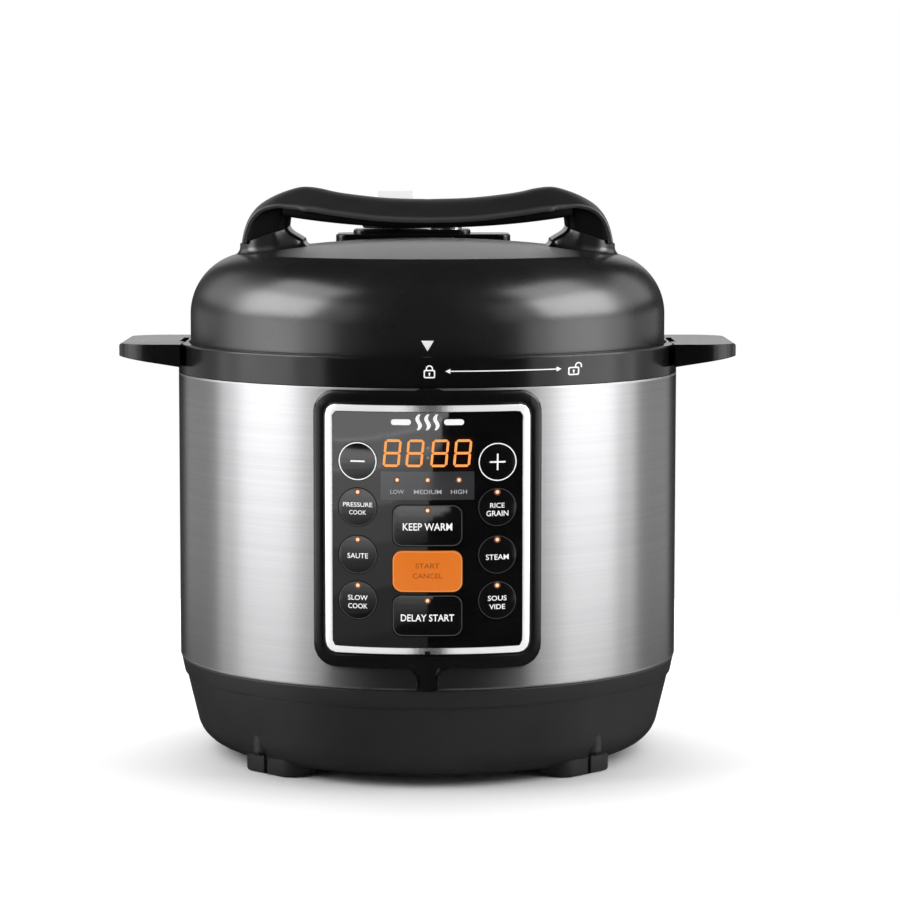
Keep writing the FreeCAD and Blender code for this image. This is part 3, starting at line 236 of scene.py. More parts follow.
def curved_piece(name, loops, material, node=None, body=None, strip=2.0, ring=False, sharp=35.0):
    """A plate of (across, radius, up) loops, cut in strips and bent; ring joins the ends."""
    vertices, faces = stack(loops, caps=not ring)
    if ring:
        count = len(loops[0])
        top = (len(loops) - 1) * count
        pairs = ((index, (index + 1) % count) for index in range(count))
        faces += [(top + one, top + two, two, one) for one, two in pairs]
    work = working(vertices, faces)
    low, high = (pick(vertex[0] for vertex in vertices) for pick in (min, max))
    count = int((high - low) / strip)
    for index in range(1, count):
        place = low + (high - low) * index / count
        geometry = work.verts[:] + work.edges[:] + work.faces[:]
        bmesh.ops.bisect_plane(work, geom=geometry, plane_co=(place, 0, 0), plane_no=(1, 0, 0))
    wrap(work)
    return dress(name, unpack(work, name), material, node, body, sharp)


def rolled(outline, edge, steps=4, start=0.0):
    """Outlines of an edge rounded by a radius, each with its level below the top."""
    rings = []
    for step in range(steps + 1):
        angle = math.pi / 2 * step / steps
        inward = start + edge * (1 - math.cos(angle))
        rings.append((inset(outline, inward), abs(edge) * (math.sin(angle) - 1)))
    return rings


# ---- materials
class Shader:
    """A principled material built node by node."""

    def __init__(self, name, colour, roughness, metallic=0.0, **sockets):
        self.material = bpy.data.materials.new(name)
        self.material.use_nodes = True
        self.tree = self.material.node_tree
        self.bsdf = self.tree.nodes["Principled BSDF"]
        self.feed(self.bsdf, {"Base Color": (*colour, 1), "Roughness": roughness, "Metallic": metallic})
        self.feed(self.bsdf, {socket.replace("_", " "): number for socket, number in sockets.items()})
        self.colour = colour
        self.roughness = roughness

    def add(self, kind, inputs, **settings):
        """A node; each input is a number, a colour or another node's output."""
        node = self.tree.nodes.new("ShaderNode" + kind)
        for key, setting in settings.items():
            setattr(node, key, setting)
        self.feed(node, inputs)
        return node

    def feed(self, node, inputs):
        """Set or link inputs of a node."""
        for socket, source in inputs.items():
            if isinstance(source, bpy.types.NodeSocket):
                self.tree.links.new(source, node.inputs[socket])
            else:
                node.inputs[socket].default_value = source

    def spot(self):
        """Object coordinates."""
        return self.add("TexCoord", {}).outputs["Object"]

    def place(self):
        """Object coordinates, split by axis."""
        return self.add("SeparateXYZ", {"Vector": self.spot()}).outputs

    def noise(self, scale, detail=3.0, roughness=0.55):
        """Noise over object coordinates, from 0 to 1; scale is one number or one for each axis."""
        scale = scale if isinstance(scale, tuple) else (scale, scale, scale)
        stretched = self.add("VectorMath", {0: self.spot(), 1: scale}, operation="MULTIPLY").outputs[0]
        return self.add("TexNoise", {"Scale": 1.0, "Detail": detail, "Roughness": roughness,
                                     "Vector": stretched}).outputs["Fac"]

    def ranged(self, source, low, high, from_low=0.3, from_high=0.7):
        """A 0 to 1 source mapped to a range."""
        return self.add("MapRange", {"Value": source, "From Min": from_low, "From Max": from_high,
                                     "To Min": low, "To Max": high}).outputs["Result"]

    def mixed(self, one, two, factor):
        """Two colours mixed by a 0 to 1 source; either may be another node's output."""
        return self.add("Mix", {"Factor": factor, "A": one, "B": two}, data_type="RGBA").outputs["Result"]

    def vary(self, source, spread, tint):
        """Vary roughness and colour by a 0 to 1 source."""
        rough = self.ranged(source, self.roughness - spread, self.roughness + spread)
        colour = self.mixed((*self.colour, 1), (*tint, 1), self.ranged(source, 0.0, 1.0))
        self.feed(self.bsdf, {"Roughness": rough, "Base Color": colour})

    def bump(self, source, strength, distance, soften=0.0):
        """Fine relief; soften rounds the sharp edges by a radius in metres."""
        inputs = {"Height": source, "Strength": strength, "Distance": distance}
        if soften:
            inputs["Normal"] = self.add("Bevel", {"Radius": soften}, samples=4).outputs["Normal"]
        self.feed(self.bsdf, {"Normal": self.add("Bump", inputs).outputs["Normal"]})

    def finish(self, broad, spread, tint, fine, depth, distance, soften=0.0):
        """Vary roughness and colour by one noise, add relief by another, and hand over the material."""
        self.vary(broad, spread, tint)
        self.bump(fine, depth, distance, soften)
        return self.material


def tinted(colour, factor, offset=0.0):
    """A colour scaled and shifted, at most 1."""
    return tuple(min(1.0, channel * factor + offset) for channel in colour)


def moulded(name, colour, roughness, grain=2200.0, depth=0.25, soften=0.0, **sockets):
    """Moulded plastic: fine spark-eroded grain, faint flow marks and roughness variation."""
    shader = Shader(name, colour, roughness, **sockets)
    return shader.finish(shader.noise(14, 4.0), 0.05, tinted(colour, 1.25, 0.004),
                         shader.noise(grain, 2.0), depth, 0.00004, soften)


def glossy(name, colour, roughness=0.08):
    """Polished plastic: mirror skin with faint waviness and smears."""
    shader = Shader(name, colour, roughness)
    return shader.finish(shader.noise((30, 30, 90), 5.0), roughness * 0.35, tinted(colour, 1.15, 0.002),
                         shader.noise(60, 1.0), 0.02, 0.0002)


def brushed(name, colour, roughness, stretch, anisotropy=0.75, contrast=0.10):
    """Metal with long fine scratches; stretch is the noise scale along each axis."""
    shader = Shader(name, colour, roughness, metallic=1.0)
    scratch = shader.noise(stretch, 4.0, 0.7)
    band = shader.noise(tuple(number * 0.08 for number in stretch), 3.0, 0.6)
    mixed = shader.add("Mix", {"Factor": 0.4, "A": scratch, "B": band}).outputs["Result"]
    tangent = shader.add("Tangent", {}, direction_type="RADIAL", axis="Z").outputs["Tangent"]
    shader.feed(shader.bsdf, {"Anisotropic": anisotropy, "Anisotropic Rotation": 0.25, "Tangent": tangent})
    return shader.finish(mixed, roughness * 0.12, tinted(colour, 1 - contrast), scratch, 0.05, 0.00003)


def metal(name, colour, roughness, grain=900.0, depth=0.08):
    """Plain or cast metal with a fine uneven skin."""
    shader = Shader(name, colour, roughness, metallic=1.0)
    return shader.finish(shader.noise(25, 4.0), roughness * 0.3, tinted(colour, 0.85),
                         shader.noise(grain, 3.0), depth, 0.00003)


def printed(name, colour, glow=0.0):
    """Ink or a lit mark: nearly flat, with a trace of print texture; glow makes it emit light, which on ink
    that is no lamp is a painted glow.
    """
    shader = Shader(name, colour, 0.5)
    shader.vary(shader.noise(3000, 2.0), 0.05, tinted(colour, 0.93))
    if glow:
        shader.feed(shader.bsdf, {"Emission Color": (*colour, 1), "Emission Strength": glow})
    return shader.material


def crown_painted_sheen(name):
    """Matt lid top painted lighter than the rest of the lid, with a soft sheen: a painted reflection. It
    fades out beside the handle's feet to the plain lid, a painted shade there.
    """
    shader = Shader(name, (0.016, 0.016, 0.0165), 0.4, IOR=1.6, Sheen_Weight=0.42, Sheen_Roughness=0.4)
    shader.finish(shader.noise(14, 4.0), 0.05, (0.022, 0.022, 0.0225), shader.noise(2200, 2.0), 0.08, 0.00004)
    plain = shader.add("BsdfPrincipled", {
        "Base Color": (*LID_COLOUR, 1), "Roughness": LID_ROUGHNESS, "IOR": LID_IOR}).outputs[0]
    # fade to the plain lid by distance across, a painted shade beside the handle's feet
    across = shader.add("Math", {0: shader.place()["X"]}, operation="ABSOLUTE").outputs["Value"]
    blend = shader.add("MixShader", {
        "Fac": shader.ranged(across, 0.0, 1.0, 0.056, 0.084), 1: shader.bsdf.outputs[0], 2: plain})
    output = next(node for node in shader.tree.nodes if node.type == "OUTPUT_MATERIAL")
    shader.feed(output, {"Surface": blend.outputs[0]})
    return shader.material


def two_tone(name):
    """Pot finish by place on the pot: grey coating inside, black enamel outside, bare bright rim."""
    enamel, coating, bare = (0.01, 0.01, 0.011), (0.055, 0.055, 0.058), (0.7, 0.7, 0.71)
    shader = Shader(name, enamel, 0.2)
    place = shader.place()
    flat = shader.add("CombineXYZ", {"X": place["X"], "Y": place["Y"]}).outputs["Vector"]
    radius = shader.add("VectorMath", {0: flat}, operation="LENGTH").outputs["Value"]
    coated = shader.add("Math", {0: shader.ranged(radius, 1.0, 0.0, 0.11035, 0.11045),
                                 1: shader.ranged(place["Z"], 0.0, 1.0, 0.0704, 0.0706)},
                        operation="MULTIPLY").outputs["Value"]
    high = shader.ranged(place["Z"], 0.0, 1.0, 0.2258, 0.2262)
    grey = shader.mixed((*enamel, 1), (*coating, 1), coated)
    shader.feed(shader.bsdf, {"Base Color": shader.mixed(grey, (*bare, 1), high), "Metallic": high,
                              "Roughness": shader.ranged(coated, 0.12, 0.42, 0.0, 1.0)})
    shader.bump(shader.noise(900, 3.0), 0.2, 0.00004)
    return shader.material


LID_COLOUR, LID_ROUGHNESS, LID_IOR = (0.009, 0.009, 0.0095), 0.29, 1.85
STEEL = brushed("brushed_steel", (0.60, 0.60, 0.61), 0.32, (5, 5, 2600), contrast=0.2)
STEEL_RIM = metal("rolled_steel", (0.62, 0.62, 0.63), 0.42, grain=1500.0, depth=0.03)
LID_BLACK = moulded("lid_moulding", LID_COLOUR, LID_ROUGHNESS, depth=0.08, IOR=LID_IOR)
# crown finish: the lid black painted lighter with a sheen, a painted reflection, faded out beside the
# handle's feet as a painted shade
CROWN_PAINTED_SHEEN = crown_painted_sheen("crown_painted_sheen")
BLACK = moulded("black_moulding", (0.004, 0.004, 0.0045), 0.2, depth=0.06, soften=0.0009)
HANDLE_BLACK = moulded("handle_moulding", (0.017, 0.017, 0.0175), 0.40, depth=0.15, IOR=1.7)
# handle edge strip: rougher and more reflective than the handle, and painted lighter, a painted highlight
# line along the grip's edges
EDGE_PAINTED_HIGHLIGHT = moulded("handle_edge_painted_highlight", (0.028, 0.028, 0.0285), 0.52, depth=0.1, IOR=2.0)
# near black and dull, a painted shade for the legs and the grip's underside under the skin's overhang
LEG_PAINTED_SHADE = moulded("leg_painted_shade_moulding", (0.0015, 0.0015, 0.0016), 0.55, depth=0.1, IOR=1.3)
BASE = moulded("base_moulding", (0.021, 0.021, 0.022), 0.38, grain=1700.0, depth=0.3, soften=0.0006)
RUBBER = moulded("rubber_pads", (0.02, 0.02, 0.02), 0.8, grain=1300.0, depth=0.5)
TRIM = metal("bright_trim", (0.86, 0.86, 0.87), 0.2, grain=1500.0, depth=0.02)
LENS = glossy("panel_gloss", (0.002, 0.002, 0.0022), 0.05)
KEY = glossy("key_black", (0.003, 0.003, 0.0033), 0.09)
# printed key outline that also emits light, a painted glow
OUTLINE_PAINTED_GLOW = printed("key_outline_painted_glow", (0.045, 0.045, 0.047), 0.4)
# orange key face and its lighter edge ring both emit light, a painted glow
ORANGE = printed("key_orange", (0.72, 0.165, 0.006), 0.36)
ORANGE_EDGE = printed("key_orange_edge", (0.80, 0.30, 0.09), 0.45)
# printed labels and signs that also emit light, a painted glow on print that is no lamp
WHITE_INK_PAINTED_GLOW = printed("white_ink_painted_glow", (0.80, 0.80, 0.80), 0.55)
GREY_INK_PAINTED_GLOW = printed("grey_ink_painted_glow", (0.30, 0.30, 0.31), 0.8)
DARK_ORANGE_INK_PAINTED_GLOW = printed("dark_orange_ink_painted_glow", (0.30, 0.065, 0.004), 0.5)
DIGIT = printed("display_orange", (0.90, 0.33, 0.08), 0.6)
COLON = printed("display_colon", (0.16, 0.12, 0.09), 0.9)
LED = printed("warm_light", (0.85, 0.52, 0.32), 0.75)
GLOW = printed("warm_glow", (0.13, 0.05, 0.025), 0.5)
WINDOW = glossy("display_window", (0.008, 0.003, 0.002), 0.07)
STRIP = glossy("display_strip", (0.035, 0.035, 0.039), 0.12)
POT_STEEL = brushed("pot_steel", (0.62, 0.62, 0.63), 0.26, (8, 8, 1500), 0.5)
POT = two_tone("pot_finish")
CAST = metal("cast_plate", (0.62, 0.62, 0.61), 0.42, grain=700.0, depth=0.3)
SILICONE = moulded("silicone", (0.55, 0.56, 0.56), 0.55, grain=1200.0, depth=0.2)
KNOB = glossy("knob_gloss", (0.008, 0.008, 0.009), 0.09)
GUARD = metal("bright_guard", (0.8, 0.8, 0.81), 0.22, grain=1500.0, depth=0.04)
# the knob's pale grip also emits light though it is no lamp, a painted glow
GRIP_PAINTED_GLOW = printed("grip_pale_painted_glow", (0.88, 0.88, 0.89), 0.45)
SCREW = metal("screw_zinc", (0.55, 0.55, 0.56), 0.34)
BOARD = moulded("circuit_board", (0.02, 0.10, 0.035), 0.35, grain=600.0, depth=0.2)
MODULE = moulded("modules", (0.03, 0.03, 0.03), 0.5)
PIPE = glossy("light_pipes", (0.8, 0.8, 0.8), 0.1)
INLET = moulded("inlet_black", (0.012, 0.012, 0.012), 0.5)
PIN = metal("inlet_pins", (0.75, 0.7, 0.55), 0.3)
CUP = glossy("cup_smoked", (0.02, 0.02, 0.022), 0.14)

DRESSED = (
    (STEEL, "steel_sleeve"), (BLACK, "upper_ring valve_deck panel_bezel"), (LID_BLACK, "lid_cover"),
    (HANDLE_BLACK, "lid_handle"), (BASE, "base_cover base_band feet"), (RUBBER, "foot_pads"),
    (TRIM, "panel_trim"), (LENS, "panel_lens"), (ORANGE, "start_cancel_key"),
    (POT_STEEL, "outer_pot inner_lid sealing_ring_rack plate_brackets exhaust_pipe anti_block_shield"),
    (SCREW, "exhaust_nut sensor_spring base_screws lid_screws handle_screws"),
    (GUARD, "float_valve float_guard"), (POT, "inner_pot"), (CAST, "heating_plate temperature_sensor"),
    (SILICONE, "sealing_ring float_valve_seal"), (KNOB, "steam_valve_knob"),
    (BOARD, "control_board power_board"),
    (MODULE, "display_module key_switches pressure_switch thermal_fuse sensor_holder"),
    (PIPE, "key_lights"), (INLET, "power_inlet"), (PIN, "inlet_pins"), (CUP, "condensation_cup"))
NODE_MATERIALS = {name: material for material, names in DRESSED for name in names.split()}


def dress_nodes():
    """Give every CAD node its material."""
    for name, node in nodes.items():
        node.data.materials.clear()
        node.data.materials.append(NODE_MATERIALS.get(name, KEY))


# ---- housing
def cut_window(work, side, left, right, low, high):
    """Cut a square opening through a turned wall and close its rim; side is -1 in front, 1 behind."""
    def near(face, margin):
        middle = face.calc_center_median()
        return side * middle.y > 0 and left - margin < middle.x < right + margin

    for place, normal in ((left, (1, 0, 0)), (right, (1, 0, 0)), (low, (0, 0, 1)), (high, (0, 0, 1))):
        faces = [face for face in work.faces if near(face, 8)]
        around = {edge for face in faces for edge in face.edges}
        corners = {vertex for face in faces for vertex in face.verts}
        cut_at = tuple(place * number for number in normal)
        bmesh.ops.bisect_plane(work, geom=[*corners, *around, *faces], plane_co=cut_at, plane_no=normal)
    inside = [face for face in work.faces if near(face, 0) and low < face.calc_center_median().z < high]
    bmesh.ops.delete(work, geom=inside, context="FACES")
    bmesh.ops.bridge_loops(work, edges=[edge for edge in work.edges if edge.is_boundary])


def steel_sleeve():
    """Sleeve wall with its two openings, and the rolled rims that catch thin highlights."""
    wall = [(BODY_R - 0.8, SLEEVE_LOW + 1.2), (BODY_R, SLEEVE_LOW + 1.2),
            (BODY_R, SLEEVE_HIGH - 1.2), (BODY_R - 0.8, SLEEVE_HIGH - 1.2)]
    work = working(*lathe(wall, ROUND))
    cut_window(work, 1, -15.3, 15.3, 65.7, 90.3)
    cut_window(work, -1, -50.0, 50.0, 72.9, 207.3)
    for vertex in work.verts:
        vertex.co *= MM
    dress("sleeve_wall", unpack(work, "sleeve_wall"), STEEL, "steel_sleeve")
    for name, level, up in (("sleeve_rim_low", SLEEVE_LOW, 1), ("sleeve_rim_high", SLEEVE_HIGH, -1)):
        rim = rounded_path([(BODY_R - 0.8, level, 0.1), (BODY_R, level, 0.6), (BODY_R, level + up * 1.2, 0),
                            (BODY_R - 0.8, level + up * 1.2, 0)], 5)
        piece(name, lathe(rim, ROUND), STEEL_RIM, "steel_sleeve", 60)


def resample(points, count):
    """A closed outline with evenly spaced points."""
    closed = points + [points[0]]
    lengths = [0.0]
    for one, two in zip(closed, closed[1:]):
        lengths.append(lengths[-1] + math.dist(one, two))
    result, segment = [], 0
    for index in range(count):
        goal = lengths[-1] * index / count
        while lengths[segment + 1] < goal:
            segment += 1
        share = (goal - lengths[segment]) / max(lengths[segment + 1] - lengths[segment], 1e-9)
        one, two = closed[segment], closed[segment + 1]
        result.append((one[0] + (two[0] - one[0]) * share, one[1] + (two[1] - one[1]) * share))
    return result


def aligned(points, centre):
    """An outline, counter-clockwise, starting at the point furthest along +X seen from a centre."""
    area = sum(a[0] * b[1] - b[0] * a[1] for a, b in zip(points, points[1:] + points[:1]))
    if area < 0:
        points = points[::-1]
    angles = [abs(math.atan2(y - centre[1], x - centre[0])) for x, y in points]
    start = angles.index(min(angles))
    return points[start:] + points[:start]


def base_band():
    """Dark band over a fine groove."""
    band = rounded_path([
        (136.0, 44.3, 0), (136.9, 44.3, 0.1), (136.9, 45.2, 0.1), (137.7, 45.3, 0.35), (139.5, 54.0, 0.5),
        (139.4, SLEEVE_LOW - 0.02, 0.3), (136.0, SLEEVE_LOW - 0.02, 0)], 4)
    piece("band_skin", lathe(band, ROUND), BASE, "base_band")


def feet():
    """Four moulded feet with an upright slot in the outer side; their tops end inside the bowl's wall."""
    near, far, half, slot = 101.5, 124.5, 20.5, 1.2
    outline = rounded_path([
        (near, -half, 9.0), (far, -half, 9.0), (far, -slot, 0.5), (far - 6.0, -slot, 0.4),
        (far - 6.0, slot, 0.4), (far, slot, 0.5), (far, half, 9.0), (near, half, 9.0)], 6)
    bowl_flat, bowl_bottom, bowl_turn = 113.0, 4.8, 18.0
    for name, angle in (("right_rear", 45), ("left_rear", 135), ("left_front", 225), ("right_front", 315)):
        turn = math.radians(angle)
        loops = []
        for pull, level in ((0.9, 0.3), (0.25, 0.55), (0.0, 1.2), (0.0, None)):
            loop = []
            for along, across in (inset(outline, pull) if pull else outline):
                beyond = min(max(math.hypot(along, across) - bowl_flat, 0.0), bowl_turn - 1.0)
                top = bowl_bottom + bowl_turn - math.sqrt(bowl_turn ** 2 - beyond ** 2) + 1.3
                loop.append((along * math.cos(turn) - across * math.sin(turn),
                             along * math.sin(turn) + across * math.cos(turn),
                             top if level is None else level))
            loops.append(loop)
        piece(name + "_foot", stack(loops), BASE, "feet", 45)


# ---- lid
def lid_cover():
    """Domed lid with its rolled shoulder; the two handle pedestals flare out of it."""
    skirt, wall = 212.5, 2.6
    profile = [(LID_R - wall, skirt), (LID_R - 0.5, skirt), (LID_R, skirt + 0.7), (LID_R, 233.0),
               (LID_R, SHOULDER_Z)]
    profile += arc_points((LID_R - SHOULDER_R, SHOULDER_Z), SHOULDER_R, 2, 81.4, 40)
    reach, steps = profile[-1][0], 24
    for index in range(1, steps + 1):
        r = reach * (1 - index / steps)
        profile.append((max(r, 0.3), lid_height(r, 0)))
    profile += [(0.3, CROWN_TOP - wall), (100.0, CROWN_EDGE[1] - 2.0), (LID_R - wall, SHOULDER_Z)]
    skin = piece("lid_skin", lathe(profile, ROUND), LID_BLACK, "lid_cover", 40)
    # the crown's faces take the lighter crown finish, a painted reflection
    skin.data.materials.append(CROWN_PAINTED_SHEEN)
    for face in skin.data.polygons:
        x, y, z = face.center
        if math.hypot(x, y) < CROWN_EDGE[0] * MM and z > (CROWN_EDGE[1] - 1.0) * MM:
            face.material_index = 1
    for side in (1, -1):
        pedestal(side)


PEDESTAL = ((69.0, -25.0, 5.0), (84.0, -29.5, 7.0), (98.0, -27.5, 9.0), (104.4, -17.0, 16.0),
            (105.4, 0.0, 40.0), (104.4, 17.0, 16.0), (98.0, 27.5, 9.0), (84.0, 29.5, 7.0), (69.0, 25.0, 5.0))
SEAM_OUTER = (105.4, 285.3)
SEAM_INNER = (78.0, 294.5)


def seam_height(x):
    """Height of the joint between a pedestal and the handle's leg."""
    share = (SEAM_OUTER[0] - x) / (SEAM_OUTER[0] - SEAM_INNER[0])
    return SEAM_OUTER[1] + (SEAM_INNER[1] - SEAM_OUTER[1]) * min(share, 1.0)


def pedestal(side):
    """A handle pedestal whose foot flares into the lid and whose inner face leans outwards."""
    outline = aligned(resample(rounded_path(PEDESTAL, 6), 96), (88, 0))
    flare, loops = 4.0, []
    for step in range(9):
        share = step / 8
        spread = flare * (1 - math.sqrt(max(0.0, 1 - (1 - share) ** 2)))
        level = -0.4 + flare * share
        ring = inset(outline, -spread)
        loops.append([(x, y, min(lid_height(x, y) + level, seam_height(x) - 0.3)) for x, y in ring])
    for step in range(1, 7):
        share = step / 6
        lean = 8.6 * (1 - (1 - share) ** 1.6)
        ring = [(x + lean * min(1.0, max(0.0, (86.0 - x) / 17.0)), y) for x, y in outline]
        level = [max(lid_height(x, y) + flare, 279.0) for x, y in outline]
        loops.append([(x, y, low + (seam_height(x) - 0.35 - low) * share)
                      for (x, y), low in zip(ring, level)])
    loops.append([(x, y, seam_height(x)) for x, y in inset(ring, 0.5)])
    loops = [[(side * x, y, z) for x, y, z in loop] for loop in loops]
    piece(SIDE[side] + "_pedestal", stack(loops), LID_BLACK, "lid_cover", 45)


def handle_line(share):
    """Ridge of the handle from its middle (0) to a foot (1): place across and height."""
    return smooth_point(((0.0, 310.0), (24.0, 310.8), (48.0, 313.5), (61.0, 316.2), (70.0, 316.9),
                         (78.0, 315.0), (86.5, 311.6), (94.2, 306.8), (99.4, 300.6), (102.4, 293.4),
                         (104.0, 286.1)), share)


def smooth_point(knots, share):
    """A point on a smooth curve through knots, by Catmull-Rom."""
    last = len(knots) - 1
    place = min(max(share, 0.0), 1.0) * last
    index = min(int(place), last - 1)
    t = place - index
    p1, p2 = knots[index], knots[index + 1]
    p0 = knots[index - 1] if index > 0 else tuple(2 * a - b for a, b in zip(p1, p2))
    p3 = knots[index + 2] if index + 2 <= last else tuple(2 * b - a for a, b in zip(p1, p2))
    return tuple(0.5 * (2 * b + (c - a) * t + (2 * a - 5 * b + 4 * c - d) * t * t
                        + (3 * b - a - 3 * c + d) * t ** 3) for a, b, c, d in zip(p0, p1, p2, p3))


def handle_section(share):
    """Half depth of the handle along its line, and how far its edge drops below the ridge."""
    knots = ((37.5, 10.5), (37.2, 10.5), (36.4, 10.4), (35.2, 11.0), (34.2, 11.0), (32.6, 8.6), (30.8, 4.6),
             (29.0, 2.4), (27.8, 1.6), (27.2, 1.3), (27.0, 1.2))
    return smooth_point(knots, share)


def handle_normal(share):
    """Outward normal of the ridge, across and up."""
    ahead, behind = handle_line(min(share + 0.004, 1.0)), handle_line(max(share - 0.004, 0.0))
    dx, dz = ahead[0] - behind[0], ahead[1] - behind[1]
    length = math.hypot(dx, dz)
    return -dz / length, dx / length


def lid_handle():
    """Bridge handle: a crowned skin that turns down at both ends, its underside and two legs."""
    across, along = 28, 90
    skin, under = [], []
    for index in range(-along, along + 1):
        share, side = abs(index) / along, 1 if index >= 0 else -1
        x, z = handle_line(share)
        normal = handle_normal(share)
        half, crown = handle_section(share)
        row, low = [], []
        for step in range(across + 1):
            t = -1 + 2 * step / across
            eased = math.sin(t * math.pi / 2) * 0.35 + t * 0.65
            drop = crown * (abs(eased) ** 2.1)
            thick = 3.6 - 1.1 * abs(eased) ** 6
            row.append((side * (x - normal[0] * drop), half * eased, z - normal[1] * drop))
            low.append((side * (x - normal[0] * (drop + thick)), (half - 0.5) * eased,
                        z - normal[1] * (drop + thick)))
        skin.append(row)
        under.append(low)
    vertices = [point for rows in (skin, under) for row in rows for point in row]
    faces = []
    width = across + 1
    rows = len(skin)
    offset = rows * width
    for row in range(0, (rows - 1) * width, width):
        for a in range(row, row + across):
            b = offset + a
            faces += [(a, a + 1, a + width + 1, a + width), (b, b + width, b + width + 1, b + 1)]
        for a in (row, row + across):
            faces.append((a, a + width, offset + a + width, offset + a))
    for row in (0, (rows - 1) * width):
        faces += [(a, a + 1, offset + a + 1, offset + a) for a in range(row, row + across)]
    thing = piece("handle_skin", (vertices, faces), HANDLE_BLACK, "lid_handle", 60)
    soften = thing.modifiers.new("rounded edges", "BEVEL")
    soften.width, soften.segments = 0.0011, 4
    soften.limit_method, soften.angle_limit = "ANGLE", math.radians(50)
    # the skin's front and back edges take the lighter edge black, a painted highlight
    thing.data.materials.append(EDGE_PAINTED_HIGHLIGHT)
    depths = [(handle_line(step / 60)[0], handle_section(step / 60)[0]) for step in range(61)]
    for face in thing.data.polygons:
        x, y, z = face.center / MM
        half = min(depths, key=lambda pair: abs(pair[0] - abs(x)))[1]
        if abs(y) > half - 1.9:
            face.material_index = 1
    handle_belly()
    for side in (1, -1):
        handle_leg(side)


def handle_belly():
    """The underside of the grip between the legs, set back from the skin's edge."""
    loops = []
    middle, end, end_at = 294.6, 300.6, 77.0
    for step in range(-26, 27):
        x = 80.0 * step / 26
        share = min((number / 200 for number in range(201)), key=lambda s: abs(handle_line(s)[0] - abs(x)))
        half, crown = handle_section(share)
        ridge = handle_line(share)[1]
        reach = min(half - 2.0, 34.0)
        low = middle + (end - middle) * (x / end_at) ** 2
        top = [(y, ridge - 1.9 - crown * (abs(y) / half) ** 2.1)
               for y in (reach * (1 - index / 8) for index in range(17))]
        bottom = [(-reach, low + 2.2), (-reach + 0.6, low + 0.7), (-reach + 2.2, low),
                  (reach - 2.2, low), (reach - 0.6, low + 0.7), (reach, low + 2.2)]
        loops.append([(x, y, z) for y, z in top + bottom])
    # the underside is near black, a painted shade under the grip
    piece("handle_belly", stack(loops), LEG_PAINTED_SHADE, "lid_handle", 45)


def skin_middle(share, y):
    """A point halfway through the handle's skin: place across and height, for a depth y."""
    x, z = handle_line(share)
    normal = handle_normal(share)
    half, crown = handle_section(share)
    depth = crown * min(abs(y) / half, 1.0) ** 2.1 + 1.3
    return x - normal[0] * depth, z - normal[1] * depth


def skin_place(goal, y, axis):
    """The point of the skin's middle layer nearest to a place across (axis 0) or a height (axis 1)."""
    points = [skin_middle(0.35 + 0.65 * step / 130, y) for step in range(131)]
    return min(points, key=lambda point: abs(point[axis] - goal))


def handle_leg(side):
    """The block inside a leg: it reaches up into the skin and follows it down on the outside."""
    outline = aligned(resample(rounded_box(78.0, 103.0, -27.0, 27.0, 5.0), 64), (89, 0))
    loops = []
    for step in range(9):
        share = step / 8
        loop = []
        for x, y in outline:
            low = seam_height(x) + 0.15
            high = skin_place(min(x, 98.5), y, 0)[1]
            level = low + (high - low) * share
            place = min(x - (1.8 * share if x < 88 else 0.0), skin_place(level, y, 1)[0])
            loop.append((side * place, y, level))
        loops.append(loop)
    # the leg block is near black, a painted shade under the skin's overhang
    piece(SIDE[side] + "_leg", stack(loops), LEG_PAINTED_SHADE, "lid_handle", 45)


# ---- valves
VALVE = (-18.8, 66.0)
FLOAT = (11.0, 66.0)


def valve_group():
    """Deck behind the handle, steam knob and float guard, with softened edges."""
    for name, sides, corner, low, high in (
            ("deck_step", (-53.0, 48.0, 46.0, 90.0), 8.0, 281.0, 289.0),
            ("deck_tier", (-43.0, 25.0, 49.0, 86.0), 9.0, 286.0, 291.6)):
        outline = rounded_box(*sides, corner)
        loops = [[(x, y, low) for x, y in outline]]
        loops += [[(x, y, high + level) for x, y in ring] for ring, level in rolled(outline, 1.0)]
        piece(name, stack(loops), BLACK, "valve_deck", 40)
    profile = rounded_path([(0.3, 292.4, 0), (18.7, 292.2, 0.8), (19.4, 294.0, 1.0), (19.4, 303.4, 2.5),
                            (16.8, 305.6, 2.0), (0.3, 306.0, 0)], 6, closed=False)
    piece("knob_body", moved(lathe(profile, 96, closed=False), *VALVE), KNOB, "steam_valve_knob", 50)
    outline = rounded_box(-12.5, 12.5, -6.5, 6.5, 3.0)
    grip_low, grip_high = 305.0, 314.9
    loops = [[(x, y, grip_low) for x, y in outline]]
    loops += [[(x, y, grip_high + level) for x, y in ring] for ring, level in rolled(outline, 1.6, 5, 0.8)]
    # the grip glows, a painted glow
    piece("knob_grip", moved(stack(loops), *VALVE), GRIP_PAINTED_GLOW, "steam_valve_knob", 50)
    profile = rounded_path([(3.5, 282.0, 0), (7.0, 282.0, 0), (7.0, 286.0, 0), (9.0, 286.5, 0.3),
                            (9.0, 295.0, 1.0), (5.5, 295.0, 0.5), (3.5, 293.0, 0.3)], 5)
    piece("guard_ring", moved(lathe(profile, 72), *FLOAT), GUARD, "float_guard", 50)


# ---- panel
def curved_frame(name, outer, hole, back, front, edge, material, node):
    """A frame of two outlines with rounded front edges, bent round the axis."""
    outer, hole = (aligned(resample(outline, 160), (0, 140)) for outline in (outer, hole))
    deep = back - front
    rings = [(outer, deep), *rolled(outer, edge), *reversed(rolled(hole, -edge)), (hole, deep)]
    loops = [[(x, front + level, z) for x, z in ring] for ring, level in rings]
    curved_piece(name, loops, material, node, strip=3.0, ring=True, sharp=45)


